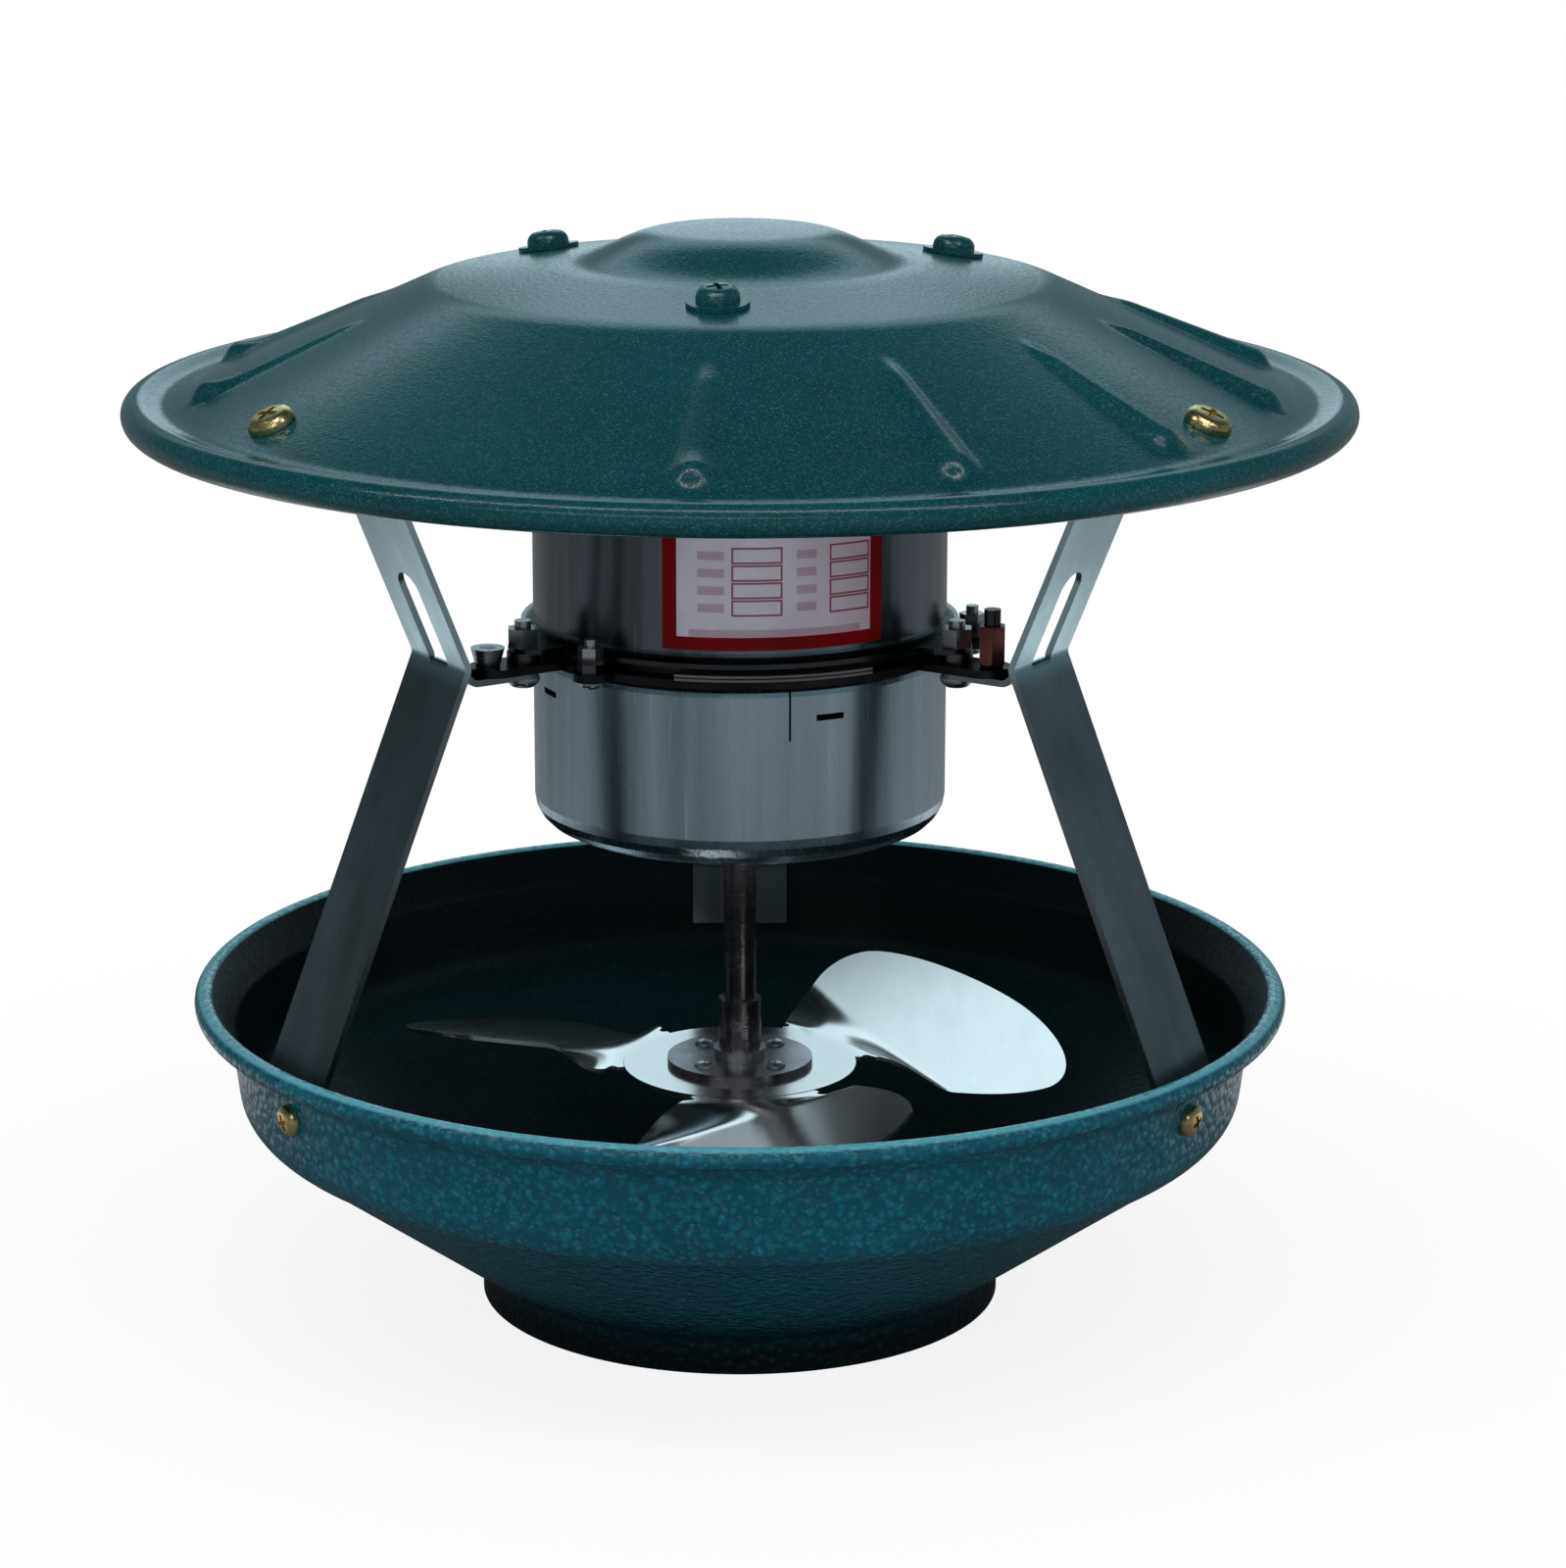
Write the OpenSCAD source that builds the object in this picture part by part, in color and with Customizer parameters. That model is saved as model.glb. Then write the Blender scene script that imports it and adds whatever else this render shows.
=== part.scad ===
// Chimney draught fan: a rain cap on three bent straps over a round dish,
// with a motor clamped at the waist of the straps and a three-blade fan below it.
// The underside of the dish neck lies on z = 0 and the shaft runs along +Z.
// Angles round the axis are counted from the front (-Y) towards the right (+X).

/* [Rain cap] */
// Outer diameter of the cap over its rolled rim
cap_d = 300; // [280:1:330]
// Thickness of the pressed sheet
cap_t = 1.2; // [0.8:0.1:1.6]
// Height of the middle of the rolled rim
cap_rim_z = 227.3; // [222:0.5:234]
// Radius of the rolled rim over its outside
cap_roll_r = 3.9; // [3:0.1:5]
// Slope of the conical field
cap_slope = 24.3; // [20:0.5:28]
// Diameter of the flat shelf round the dome
shelf_d = 152; // [142:1:160]
// Diameter of the foot of the dome
dome_d = 88; // [70:1:96]
// Diameter of the flat crown of the dome
crown_d = 36; // [20:1:50]
// Rise of the dome over the shelf
dome_h = 7.6; // [4:0.2:14]

/* [Cap ribs] */
// Length of a pressed rib up to the middle of its nose
rib_len = 43; // [30:1:46]
// Radius of the rib at its nose
rib_nose_r = 5.5; // [3.5:0.1:6]
// Radius of the rib at its thin end
rib_tail_r = 1.6; // [1.4:0.1:2.4]
// Distance of the middle of the nose from the cap's edge
rib_nose_in = 21.5; // [21:0.5:30]
// Angle from one rib to the next
rib_pitch = 26; // [22:1:32]

/* [Dish] */
// Outer diameter of the dish wall just below its rim
dish_d = 255.8; // [250:0.5:262]
// Thickness of the spun sheet
dish_t = 1.4; // [1:0.1:1.8]
// Height of the top of the dish wall
dish_wall_top = 72; // [68:0.5:76]
// Height at which the wall turns into the cone
dish_knee_z = 51.8; // [46:0.5:54]
// How much the wall narrows down to the knee, on the radius
dish_taper = 2.5; // [0:0.1:4]
// Rounding between wall and cone
dish_knee_r = 10; // [5:0.5:14]
// How far the flared rim stands out from the wall
flare_out = 8.7; // [7:0.1:11]
// How far the flared rim rises over the wall
flare_up = 9.6; // [8.6:0.1:12]
// Radius of the rolled lip over its outside
lip_r = 2.7; // [2.2:0.1:3.2]
// Outer diameter of the neck that enters the flue
neck_d = 131; // [120:0.5:140]
// Height of the neck
neck_h = 9; // [6:0.5:16]

/* [Straps] */
// Width of a strap
strap_w = 26; // [22:0.5:30]
// Thickness of a strap
strap_t = 1.6; // [1.2:0.1:2]
// Distance from the tab bolt out to the waist bend
waist_reach = 22.3; // [21:0.1:25]
// How far the waist bend lies over the tongue
waist_rise = 5.9; // [3:0.1:8]
// Lean of the upper leg from the vertical
leg_lean = 22.6; // [19:0.1:26]
// Angle of the two front straps from the front
strap_angle = 57; // [54:0.5:62]
// Bend radius on the middle line of the strip
bend_r = 2.6; // [2:0.1:4]
// Width of the tongue lanced out of the upper leg
tongue_w = 9; // [8:0.1:10]
// Length of the window that the tongue leaves
window_len = 25.5; // [24:0.5:30]

/* [Motor] */
// Outer diameter of the two pressed shells
shell_d = 102; // [98:0.5:106]
// Thickness of the shells
shell_t = 1.2; // [0.8:0.1:1.5]
// Height of the underside of the mounting ring
ring_z = 168.3; // [164:0.5:172]
// Thickness of the mounting ring
ring_t = 2; // [1.5:0.1:3]
// How far the mounting ring stands out from the shells
ring_rim = 4.5; // [4:0.1:5]
// Depth of the lower shell below the ring
lower_depth = 45.2; // [38:0.5:50]
// Height of the upper shell over its lip
upper_height = 45.5; // [40:0.5:50]
// Length of the stator core
core_len = 22; // [16:1:26]
// Radial depth of the stator core
core_depth = 22.5; // [20:0.5:24]
// Gap between rotor and stator on the radius
air_gap = 0.5; // [0.3:0.1:1]
// Diameter of the shaft
shaft_d = 8; // [6:0.5:10]
// Outer diameter of the bearings
bearing_d = 22; // [20:1:26]
// Width of the bearings
bearing_w = 7; // [6:0.5:9]

/* [Fan] */
// Diameter swept by the blades
fan_d = 182; // [166:1:196]
// Number of blades
blades = 3; // [2:1:5]
// Thickness of the blade sheet
blade_t = 1; // [0.8:0.1:1.5]
// Pitch of a blade at its tip
tip_pitch = 13.5; // [10:0.5:24]
// Extra pitch of a blade next to its root
root_twist = 1.5; // [0:0.5:12]
// Hollow of a blade over its widest chord
camber = 1.4; // [0:0.1:6]
// Widest chord of a blade
chord = 76.5; // [60:0.5:82]
// How far a blade sits towards its low edge
blade_shift = 4.8; // [0:0.1:6]
// Width of a blade where it leaves the hub disc
root_w = 30; // [24:0.5:34]
// Diameter of the flat disc in the middle
disc_d = 59; // [54:0.5:64]
// Height of the middle of that disc
disc_z = 58; // [52:0.5:62]
// Direction of the first blade from the front
first_blade = 128; // [0:0.5:180]

/* [Fasteners] */
// Distance of the shelf screws from the axis
shelf_screw_at = 58; // [56:0.5:64]
// Distance of the cap screws from the cap's edge
cap_screw_in = 22.5; // [21.5:0.5:26]
// Height of the dish screws
dish_screw_z = 66.5; // [64:0.5:68]
// Distance of the tab bolts from the wall of the shells
tab_reach = 11; // [10:0.1:12]
// Distance of the clamp screws from the wall of the shells
clamp_reach = 6.5; // [6.2:0.1:7]
// Distance of the earth and bond studs from the tab bolts
bond_reach = 9.8; // [8.8:0.1:10]

/* [Rating plate] */
// Width of the plate round the shell
plate_w = 55; // [40:1:60]
// Height of the plate
plate_h = 31; // [24:1:32]
// Thickness of the plate
plate_t = 0.4; // [0.3:0.1:0.8]

/* [Clearances] */
// Radial room of a screw in its hole
hole_gap = 0.3; // [0.1:0.1:0.5]
// Radial room of a screw in its nut, and of like fits
thread_gap = 0.05; // [0.02:0.01:0.1]
// Radial running fit of the shaft in its bearings
run_gap = 0.03; // [0.01:0.01:0.08]
// Room left between a flat strip and a curved wall
seat_gap = 0.1; // [0.05:0.05:0.3]

/* [Hidden] */

$fn = 96;
eps = 0.01;
rib_nose_at = cap_d / 2 - rib_nose_in;
cap_screw_at = cap_d / 2 - cap_screw_in;
tab_bolt_at = shell_d / 2 + tab_reach;
clamp_at = shell_d / 2 + clamp_reach;
waist_r = tab_bolt_at + waist_reach;
ring_d = shell_d + 2 * ring_rim;
strap_angles = [-strap_angle, strap_angle, 180];
tab_angles = strap_angles;
clamp_angles = [-38, 82, 202];
shelf_angles = [-5, 115, 235];
screw_clear = 7;
// Ribs from the front round the right to the left side, none on a strap screw
rib_angles = [for (a = [-4.5:rib_pitch:285]) if (min([for (s = strap_angles)
    abs((a - s + 540) % 360 - 180)]) > screw_clear) a];
teal = "#0e4a4b";
zinc = "#b9bcc0";

// Working with paths: a path is a list of [radius, height] points on the middle of a sheet.
function unit(v) = v / norm(v);
function left_of(v) = [-v[1], v[0]];
function backwards(p) = [for (i = [len(p) - 1:-1:0]) p[i]];
function arc(c, r, from, to, n) =
    [for (i = [0:n]) let (a = from + (to - from) * i / n) c + r * [cos(a), sin(a)]];
function heading(v) = atan2(v[1], v[0]);
function short_way(a) = a > 180 ? a - 360 : a < -180 ? a + 360 : a;

// The corner a-b-c rounded with radius r
function corner(a, b, c, r, n = 5) =
    let (u = unit(a - b), v = unit(c - b), half = acos(u * v) / 2,
         mid = b + unit(u + v) * r / sin(half),
         from = heading(b + u * r / tan(half) - mid),
         to = heading(b + v * r / tan(half) - mid))
    arc(mid, r, from, from + short_way(to - from), n);

// The path moved sideways by d
function beside(p, d) =
    [for (i = [0:len(p) - 1])
        let (last = len(p) - 1,
             a = i > 0 ? unit(p[i] - p[i - 1]) : unit(p[1] - p[0]),
             b = i < last ? unit(p[i + 1] - p[i]) : a,
             n = unit(left_of(a) + left_of(b)))
        p[i] + n * d / (n * left_of(a))];

// The outline of a sheet of thickness t along the path
function sheet(p, t) = concat(beside(p, t / 2), backwards(beside(p, -t / 2)));

module turned_sheet(p, t) {
    rotate_extrude() polygon(sheet(p, t));
}

// Puts its children at an angle round the axis, with local +X pointing outwards
module at_angle(a) {
    rotate([0, 0, a - 90]) children();
}

// Puts its children on a surface whose outward normal rises by tilt from level
module on_surface(a, r, z, tilt) {
    at_angle(a) translate([r, 0, z]) rotate([0, 90 - tilt, 0]) children();
}

// Fastener sizes
m3 = 3;
m4 = 4;
m5 = 5;
nut3 = [5.5, 2.5];
nut4 = [7, 4.6];
nut5 = [8, 4];
washer_t = 1;
shelf_washer_d = 15;
tab_spacer_d = 8;
// Screw heads across and high
head3 = [5.6, 2];
head4 = [8, 2.6];
head5 = [10.4, 3.4];
broad_head5 = [11.4, 3];
// Shanks under the heads, and what the flange's screws stand out over the shell's ears
shelf_screw_len = 12;
cap_screw_len = 12;
dish_screw_len = 10;
tab_bolt_over = 6.4;
clamp_screw_over = 4.4;

// A pan head on z = 0 with its shank below
module pan_screw(d, head, shank) {
    head_d = head[0];
    head_h = head[1];
    difference() {
        rotate_extrude() polygon(concat([[0, 0], [head_d / 2, 0]],
            arc([head_d / 2 - head_h * 0.8, head_h * 0.2], head_h * 0.8, 0, 90, 5),
            [[0, head_h * 1.08]]));
        for (turn = [0, 90])
            rotate([0, 0, turn + 20]) translate([0, 0, head_h])
                cube([head_d * 0.5, head_d * 0.12, head_h], center = true);
    }
    translate([0, 0, -shank]) cylinder(h = shank + eps, d = d);
}

// A hexagon nut standing on z = 0, across flats and height given as a pair
module hex_nut(size, d) {
    difference() {
        cylinder(h = size[1], d = size[0] / cos(30), $fn = 6);
        translate([0, 0, -1]) cylinder(h = size[1] + 2, r = d / 2 + thread_gap, $fn = 48);
    }
}

// A washer or spacer standing on z = 0
module washer(outer, bore, t) {
    difference() {
        cylinder(h = t, d = outer);
        translate([0, 0, -1]) cylinder(h = t + 2, d = bore);
    }
}

// The rain cap: crown, dome flank, shelf, cone, valley and rolled rim, from the axis outwards
roll_mid = cap_roll_r - cap_t / 2;
roll_at = cap_d / 2 - cap_roll_r;
valley_r = 9;
valley_at = [roll_at - 6.3, cap_rim_z + 10.7];
cone_end = valley_at + valley_r * [cos(270 - cap_slope), sin(270 - cap_slope)];
function cone_z(r) = cone_end[1] + (cone_end[0] - r) * tan(cap_slope);
shelf_drop = 4.6;
shelf_edge = [shelf_d / 2, cone_z(shelf_d / 2)];
shelf_in = [dome_d / 2, shelf_edge[1] + shelf_drop];
shelf_tilt = atan(shelf_drop / (shelf_edge[0] - shelf_in[0]));
function shelf_z(r) = shelf_edge[1] + (shelf_edge[0] - r) * tan(shelf_tilt);
dome_steps = 8;
cap_path = concat(
    [[0, shelf_in[1] + dome_h + 0.4], [crown_d / 4, shelf_in[1] + dome_h + 0.4]],
    [for (i = [0:dome_steps]) let (s = i / dome_steps)
        [crown_d / 2 + (dome_d - crown_d) / 2 * s, shelf_in[1] + dome_h * (1 + cos(180 * s)) / 2]],
    corner(shelf_in, shelf_edge, cone_end, 36, 5),
    arc(valley_at, valley_r, 270 - cap_slope, 292, 5),
    arc([roll_at, cap_rim_z], roll_mid, 112, -150, 12));

// One rib, grown by extra all round: a thin cone along the field, ending in a round nose
rib_sink = 1.5;
module rib(extra) {
    tail_r = rib_nose_at - rib_len * cos(cap_slope);
    dive = atan(rib_sink / rib_len);
    translate([tail_r, 0, cone_z(tail_r)]) rotate([0, 90 + cap_slope + dive, 0]) {
        cylinder(h = rib_len, r1 = rib_tail_r + extra, r2 = rib_nose_r + extra, $fn = 32);
        translate([0, 0, rib_len]) sphere(r = rib_nose_r + extra, $fn = 32);
    }
}

// All that lies over the middle of the cap sheet
module over_cap() {
    rotate_extrude() polygon([[20, cone_z(20)], [cone_end[0], cone_end[1]],
        [cone_end[0], cone_end[1] + 60], [20, cone_z(20) + 60]]);
}

module rain_cap() {
    color(teal) difference() {
        union() {
            turned_sheet(cap_path, cap_t);
            intersection() {
                union() for (a = rib_angles) at_angle(a) rib(0);
                over_cap();
            }
        }
        for (a = rib_angles) at_angle(a) rib(-cap_t);
        for (a = strap_angles)
            on_surface(a, cap_screw_at, cone_z(cap_screw_at), 90 - cap_slope)
                translate([0, 0, -5]) cylinder(h = 10, r = m5 / 2 + hole_gap);
        for (a = shelf_angles)
            on_surface(a, shelf_screw_at, shelf_z(shelf_screw_at), 90 - shelf_tilt)
                translate([0, 0, -5]) cylinder(h = 10, r = m5 / 2 + hole_gap);
    }
}

// Shelf screws: pan heads on broad washers, nuts under the sheet
module on_shelf(a, lift) {
    on_surface(a, shelf_screw_at, shelf_z(shelf_screw_at), 90 - shelf_tilt)
        translate([0, 0, lift]) children();
}
shelf_lift = cap_t / 2 + seat_gap;
module shelf_screws() {
    color(teal) for (a = shelf_angles)
        on_shelf(a, shelf_lift + washer_t) pan_screw(m5, head5, shelf_screw_len);
}
module shelf_washers() {
    color(teal) for (a = shelf_angles)
        on_shelf(a, shelf_lift) washer(shelf_washer_d, m5 + 2 * thread_gap, washer_t);
}
module shelf_nuts() {
    color(zinc) for (a = shelf_angles)
        on_shelf(a, -shelf_lift - nut5[1]) hex_nut(nut5, m5);
}

// The strap: its feet lie against the cap cone and the dish wall, a hair off both,
// because the strip is flat and they are round.
strip_half = strap_w / 2;
function sag(r) = r - sqrt(r * r - strip_half * strip_half);
wall_slope = atan(dish_taper / (dish_wall_top - dish_knee_z));
function wall_r(z) = dish_d / 2 - dish_t / 2 - (dish_wall_top - z) * tan(wall_slope);
cap_foot_drop = (cap_t / 2 + strap_t / 2 + seat_gap) / cos(cap_slope)
    + sag(cap_screw_at - 13) * tan(cap_slope);
function cap_foot_z(r) = cone_z(r) - cap_foot_drop;
foot_inset = dish_t / 2 + strap_t / 2 + seat_gap + sag(wall_r(dish_screw_z));
function dish_foot_r(z) = wall_r(z) - foot_inset / cos(wall_slope);
tongue_z = ring_z - strap_t / 2;
waist = [waist_r, tongue_z + waist_rise];
knee_r = (cap_foot_z(0) - waist[1] + waist_r / tan(leg_lean)) / (1 / tan(leg_lean) + tan(cap_slope));
upper_knee = [knee_r, cap_foot_z(knee_r)];
cap_foot_end = [cap_screw_at + 7, cap_foot_z(cap_screw_at + 7)];
lower_knee = [dish_foot_r(dish_screw_z + 9.5), dish_screw_z + 9.5];
dish_foot_end = [dish_foot_r(dish_screw_z - 7.5), dish_screw_z - 7.5];
strap_path = concat([cap_foot_end],
    corner(cap_foot_end, upper_knee, waist, bend_r, 4),
    corner(upper_knee, waist, lower_knee, bend_r, 4),
    corner(waist, lower_knee, dish_foot_end, bend_r * 2, 3),
    [dish_foot_end]);
bond_at = tab_bolt_at + bond_reach;

module strap_blank() {
    rotate([90, 0, 0]) linear_extrude(height = strap_w, center = true)
        polygon(sheet(strap_path, strap_t));
}

// The window of the lanced tongue, square at the bend and round at its far end
window_from = -1;
module strap_window() {
    round_at = window_from + window_len - tongue_w / 2;
    translate([waist[0], 0, waist[1]]) rotate([0, leg_lean, 0]) {
        translate([-5, -tongue_w / 2, window_from]) cube([10, tongue_w, round_at - window_from]);
        translate([-5, 0, round_at]) rotate([0, 90, 0]) cylinder(h = 10, d = tongue_w);
    }
}

// The tongue folds inwards at the waist, dips, and lies level under the mounting ring
tongue_round = [tab_bolt_at + 0.9, tongue_z];
tongue_dip = [waist_r - 6.3, tongue_z];
tongue_fold_r = 1.3;
tongue_path = concat([tongue_round],
    corner(tongue_round, tongue_dip, waist, bend_r, 3),
    corner(tongue_dip, waist, lower_knee, tongue_fold_r, 4),
    [waist + 5 * unit(lower_knee - waist)]);
module strap_tongue() {
    rotate([90, 0, 0]) linear_extrude(height = tongue_w, center = true)
        polygon(sheet(tongue_path, strap_t));
    translate([tongue_round[0], 0, tongue_z - strap_t / 2]) cylinder(h = strap_t, d = tongue_w);
}

module strap() {
    color("#4a4d52") difference() {
        union() {
            difference() {
                strap_blank();
                strap_window();
            }
            strap_tongue();
        }
        translate([tab_bolt_at, 0, tongue_z - 5]) cylinder(h = 10, r = m4 / 2 + hole_gap);
        translate([bond_at, 0, tongue_z - 5]) cylinder(h = 10, r = m4 / 2 + hole_gap);
        translate([cap_screw_at, 0, cone_z(cap_screw_at)]) rotate([0, cap_slope, 0])
            translate([0, 0, -10]) cylinder(h = 15, r = m5 / 2 + hole_gap);
        translate([wall_r(dish_screw_z), 0, dish_screw_z]) rotate([0, 90 + wall_slope, 0])
            translate([0, 0, -8]) cylinder(h = 12, r = m4 / 2 + hole_gap);
    }
}
module strap_left() { at_angle(strap_angles[0]) strap(); }
module strap_right() { at_angle(strap_angles[1]) strap(); }
module strap_back() { at_angle(strap_angles[2]) strap(); }

// Cap screws go through the cone and the strap foot, square to the sheet
module on_cone(a, lift) {
    on_surface(a, cap_screw_at, cone_z(cap_screw_at), 90 - cap_slope)
        translate([0, 0, lift]) children();
}
cap_foot_under = cap_t / 2 + cap_foot_drop * cos(cap_slope) - cap_t / 2 + strap_t / 2;
module cap_screws() {
    color("#c79a4a") for (a = strap_angles)
        on_cone(a, cap_t / 2 + seat_gap) pan_screw(m5, broad_head5, cap_screw_len);
}
module cap_nuts() {
    color(zinc) for (a = strap_angles)
        on_cone(a, -cap_foot_under - eps - nut5[1]) hex_nut(nut5, m5);
}

// The dish: neck, cone, knee, wall, flare and rolled lip, from the bottom upwards
neck_mid = neck_d / 2 - dish_t / 2;
neck_round = 3;
neck_top = [neck_mid, neck_h];
knee = [wall_r(dish_knee_z), dish_knee_z];
wall_top = [wall_r(dish_wall_top), dish_wall_top];
lip_mid = lip_r - dish_t / 2;
lip_at = [dish_d / 2 + flare_out - lip_r, dish_wall_top + flare_up - lip_r];
dish_path = concat([[neck_mid, 0]],
    corner([neck_mid, 0], neck_top, knee, neck_round, 4),
    corner(neck_top, knee, wall_top, dish_knee_r, 6),
    corner(knee, wall_top, lip_at + lip_mid * [cos(135), sin(135)], 3, 4),
    arc(lip_at, lip_mid, 125, -110, 9));

module lower_dish() {
    color("#0f5757") difference() {
        turned_sheet(dish_path, dish_t);
        for (a = strap_angles)
            on_wall(a, -5) cylinder(h = 10, r = m4 / 2 + hole_gap);
    }
}
module on_wall(a, lift) {
    on_surface(a, wall_r(dish_screw_z), dish_screw_z, -wall_slope)
        translate([0, 0, lift]) children();
}
module dish_screws() {
    color("#c79a4a") for (a = strap_angles)
        on_wall(a, dish_t / 2 + seat_gap) pan_screw(m4, head4, dish_screw_len);
}
module dish_nuts() {
    color(zinc) for (a = strap_angles)
        on_wall(a, -foot_inset - strap_t / 2 - eps - nut4[1]) hex_nut(nut4, m4);
}

// Motor shells. Both carry a bearing cup in the middle.
shell_mid = shell_d / 2 - shell_t / 2;
shell_in = shell_d / 2 - shell_t;
cup_mid = bearing_d / 2 + thread_gap + shell_t / 2;
shoulder_r = 2.6;
ring_top = ring_z + ring_t;
lip_z = ring_top + nut3[1];
lower_floor = ring_z - lower_depth;
lower_cup_floor = lower_floor - 4.4;
upper_roof = lip_z + upper_height;
upper_cup_roof = upper_roof + bearing_w + 1;
lower_bearing_z = lower_cup_floor + shell_t / 2 + eps;
upper_bearing_z = upper_cup_roof - shell_t / 2 - bearing_w - eps;
shaft_hole_r = shaft_d / 2 + 2.5;

module motor_lower_shell() {
    path = concat([[shaft_hole_r, lower_cup_floor], [cup_mid, lower_cup_floor],
            [cup_mid, lower_floor]],
        corner([cup_mid, lower_floor], [shell_mid, lower_floor], [shell_mid, ring_z], 7, 5),
        arc([shell_mid - shoulder_r, ring_z - shell_t / 2 - shoulder_r], shoulder_r, 0, 90, 4),
        [[shell_mid - shoulder_r - 0.6, ring_z - shell_t / 2]]);
    seam_len = 14;
    lug = [7.2, 2.6, 0.8];
    lug_angles = [25, 115, 205, 295];
    lug_z = ring_z - 9.4;
    color("#9a9da1") {
        difference() {
            turned_sheet(path, shell_t);
            at_angle(13.5) translate([shell_d / 2 - 6, -0.25, ring_z - seam_len])
                cube([10, 0.5, seam_len + 2]);
            for (a = lug_angles) at_angle(a)
                translate([shell_in - 1, -lug[0] / 2, lug_z]) cube([5, lug[0], 1.5]);
        }
        for (a = lug_angles) at_angle(a)
            translate([shell_in - lug[1], -lug[0] / 2, lug_z - lug[2]])
                cube([lug[1] + shell_t / 2, lug[0], lug[2]]);
    }
}

module ear(from, to, w, t) {
    translate([from, -w / 2, 0]) cube([to - w / 2 - from, w, t]);
    translate([to - w / 2, 0, 0]) cylinder(h = t, d = w);
}
tab_ear_w = 12;
clamp_ear_w = 9;
grommet_angle = 150;
grommet_z = lip_z + 30;
grommet_bore = 6;

module motor_upper_shell() {
    flare = 2.4;
    path = concat([[shell_mid + flare + 1.2, lip_z + shell_t / 2]],
        arc([shell_mid + flare, lip_z + shell_t / 2 + flare], flare, 270, 180, 4),
        corner([shell_mid, lip_z], [shell_mid, upper_roof], [cup_mid, upper_roof], 8, 6),
        [[cup_mid, upper_roof], [cup_mid, upper_cup_roof], [0, upper_cup_roof]]);
    color("#a6a9ad") difference() {
        union() {
            turned_sheet(path, shell_t);
            translate([0, 0, lip_z]) {
                for (a = tab_angles) at_angle(a)
                    ear(shell_mid + flare, tab_bolt_at + 3.3, tab_ear_w, shell_t);
                for (a = clamp_angles) at_angle(a)
                    ear(shell_mid + flare, clamp_at + 4, clamp_ear_w, shell_t);
            }
        }
        flange_holes(lip_z);
        at_angle(grommet_angle) translate([shell_d / 2 - 4, 0, grommet_z]) rotate([0, 90, 0])
            cylinder(h = 8, d = grommet_bore + 3);
    }
}

// The bolt holes that every layer of the flange shares
module flange_holes(z) {
    for (a = tab_angles) at_angle(a) translate([tab_bolt_at, 0, z - 2])
        cylinder(h = 8, r = m4 / 2 + hole_gap);
    for (a = clamp_angles) at_angle(a) translate([clamp_at, 0, z - 2])
        cylinder(h = 8, r = m3 / 2 + hole_gap);
}

core_r = shell_in - 0.3;
ear_from = core_r + 1;
core_bore = 2 * (core_r - core_depth);
module mounting_ring() {
    color("#2a2b2d") difference() {
        translate([0, 0, ring_z]) {
            cylinder(h = ring_t, d = ring_d);
            for (a = tab_angles) at_angle(a) ear(ear_from, bond_at + 4.5, tab_ear_w, ring_t);
            for (a = clamp_angles) at_angle(a) ear(ear_from, clamp_at + 4.2, clamp_ear_w, ring_t);
        }
        translate([0, 0, ring_z - 1]) cylinder(h = ring_t + 2, r = core_r + thread_gap);
        flange_holes(ring_z);
        for (a = [-strap_angle, strap_angle]) at_angle(a) translate([bond_at, 0, ring_z - 2])
            cylinder(h = 8, r = m4 / 2 + thread_gap);
    }
}

// The curved packing plate that shows at the front of the flange, between two edges of sheet
module packing_plate() {
    color("#8d8f92") at_angle(-16) rotate_extrude(angle = 50)
        translate([core_r + 0.6, ring_top]) polygon([[0, 0], [ring_d / 2 - core_r + 0.2, 0],
            [ring_d / 2 - core_r + 0.2, 0.6], [ring_d / 2 - core_r - 0.8, 0.75],
            [ring_d / 2 - core_r + 0.2, 0.9], [ring_d / 2 - core_r + 0.2, 1.5], [0, 1.5]]);
}

plate_mid_angle = 10;
module rating_plate() {
    seat = shell_d / 2 + thread_gap;
    span = plate_w / seat * 180 / PI;
    color("#c9b3b6") at_angle(plate_mid_angle - span / 2) rotate_extrude(angle = span)
        translate([seat, lip_z + 4]) square([plate_t, plate_h]);
}

// Flange fasteners: bolt from below, spacer nut on the ring, nut over the shell ear
head_under = ring_z - eps;
module stack(angles, at, z) {
    for (a = angles) at_angle(a) translate([at, 0, z]) children();
}
tongue_under = ring_z - strap_t - eps;
module tab_bolts() {
    color("#b89a55") stack(tab_angles, tab_bolt_at, tongue_under)
        mirror([0, 0, 1]) pan_screw(m4, head4,
            strap_t + ring_t + nut3[1] + shell_t + tab_bolt_over);
}
module tab_spacers() {
    color("#55575a") stack(tab_angles, tab_bolt_at, ring_top)
        washer(tab_spacer_d, m4 + 2 * thread_gap, lip_z - ring_top);
}
module tab_nuts() {
    color(zinc) stack(tab_angles, tab_bolt_at, lip_z + shell_t + eps) hex_nut(nut4, m4);
}
module clamp_screws() {
    color(zinc) stack(clamp_angles, clamp_at, head_under)
        mirror([0, 0, 1]) pan_screw(m3, head3, ring_t + nut3[1] + shell_t + clamp_screw_over);
}
module clamp_spacers() {
    color("#55575a") stack(clamp_angles, clamp_at, ring_top) hex_nut(nut3, m3);
}
module clamp_nuts() {
    color(zinc) stack(clamp_angles, clamp_at, lip_z + shell_t + eps) hex_nut(nut3, m3);
}

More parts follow.
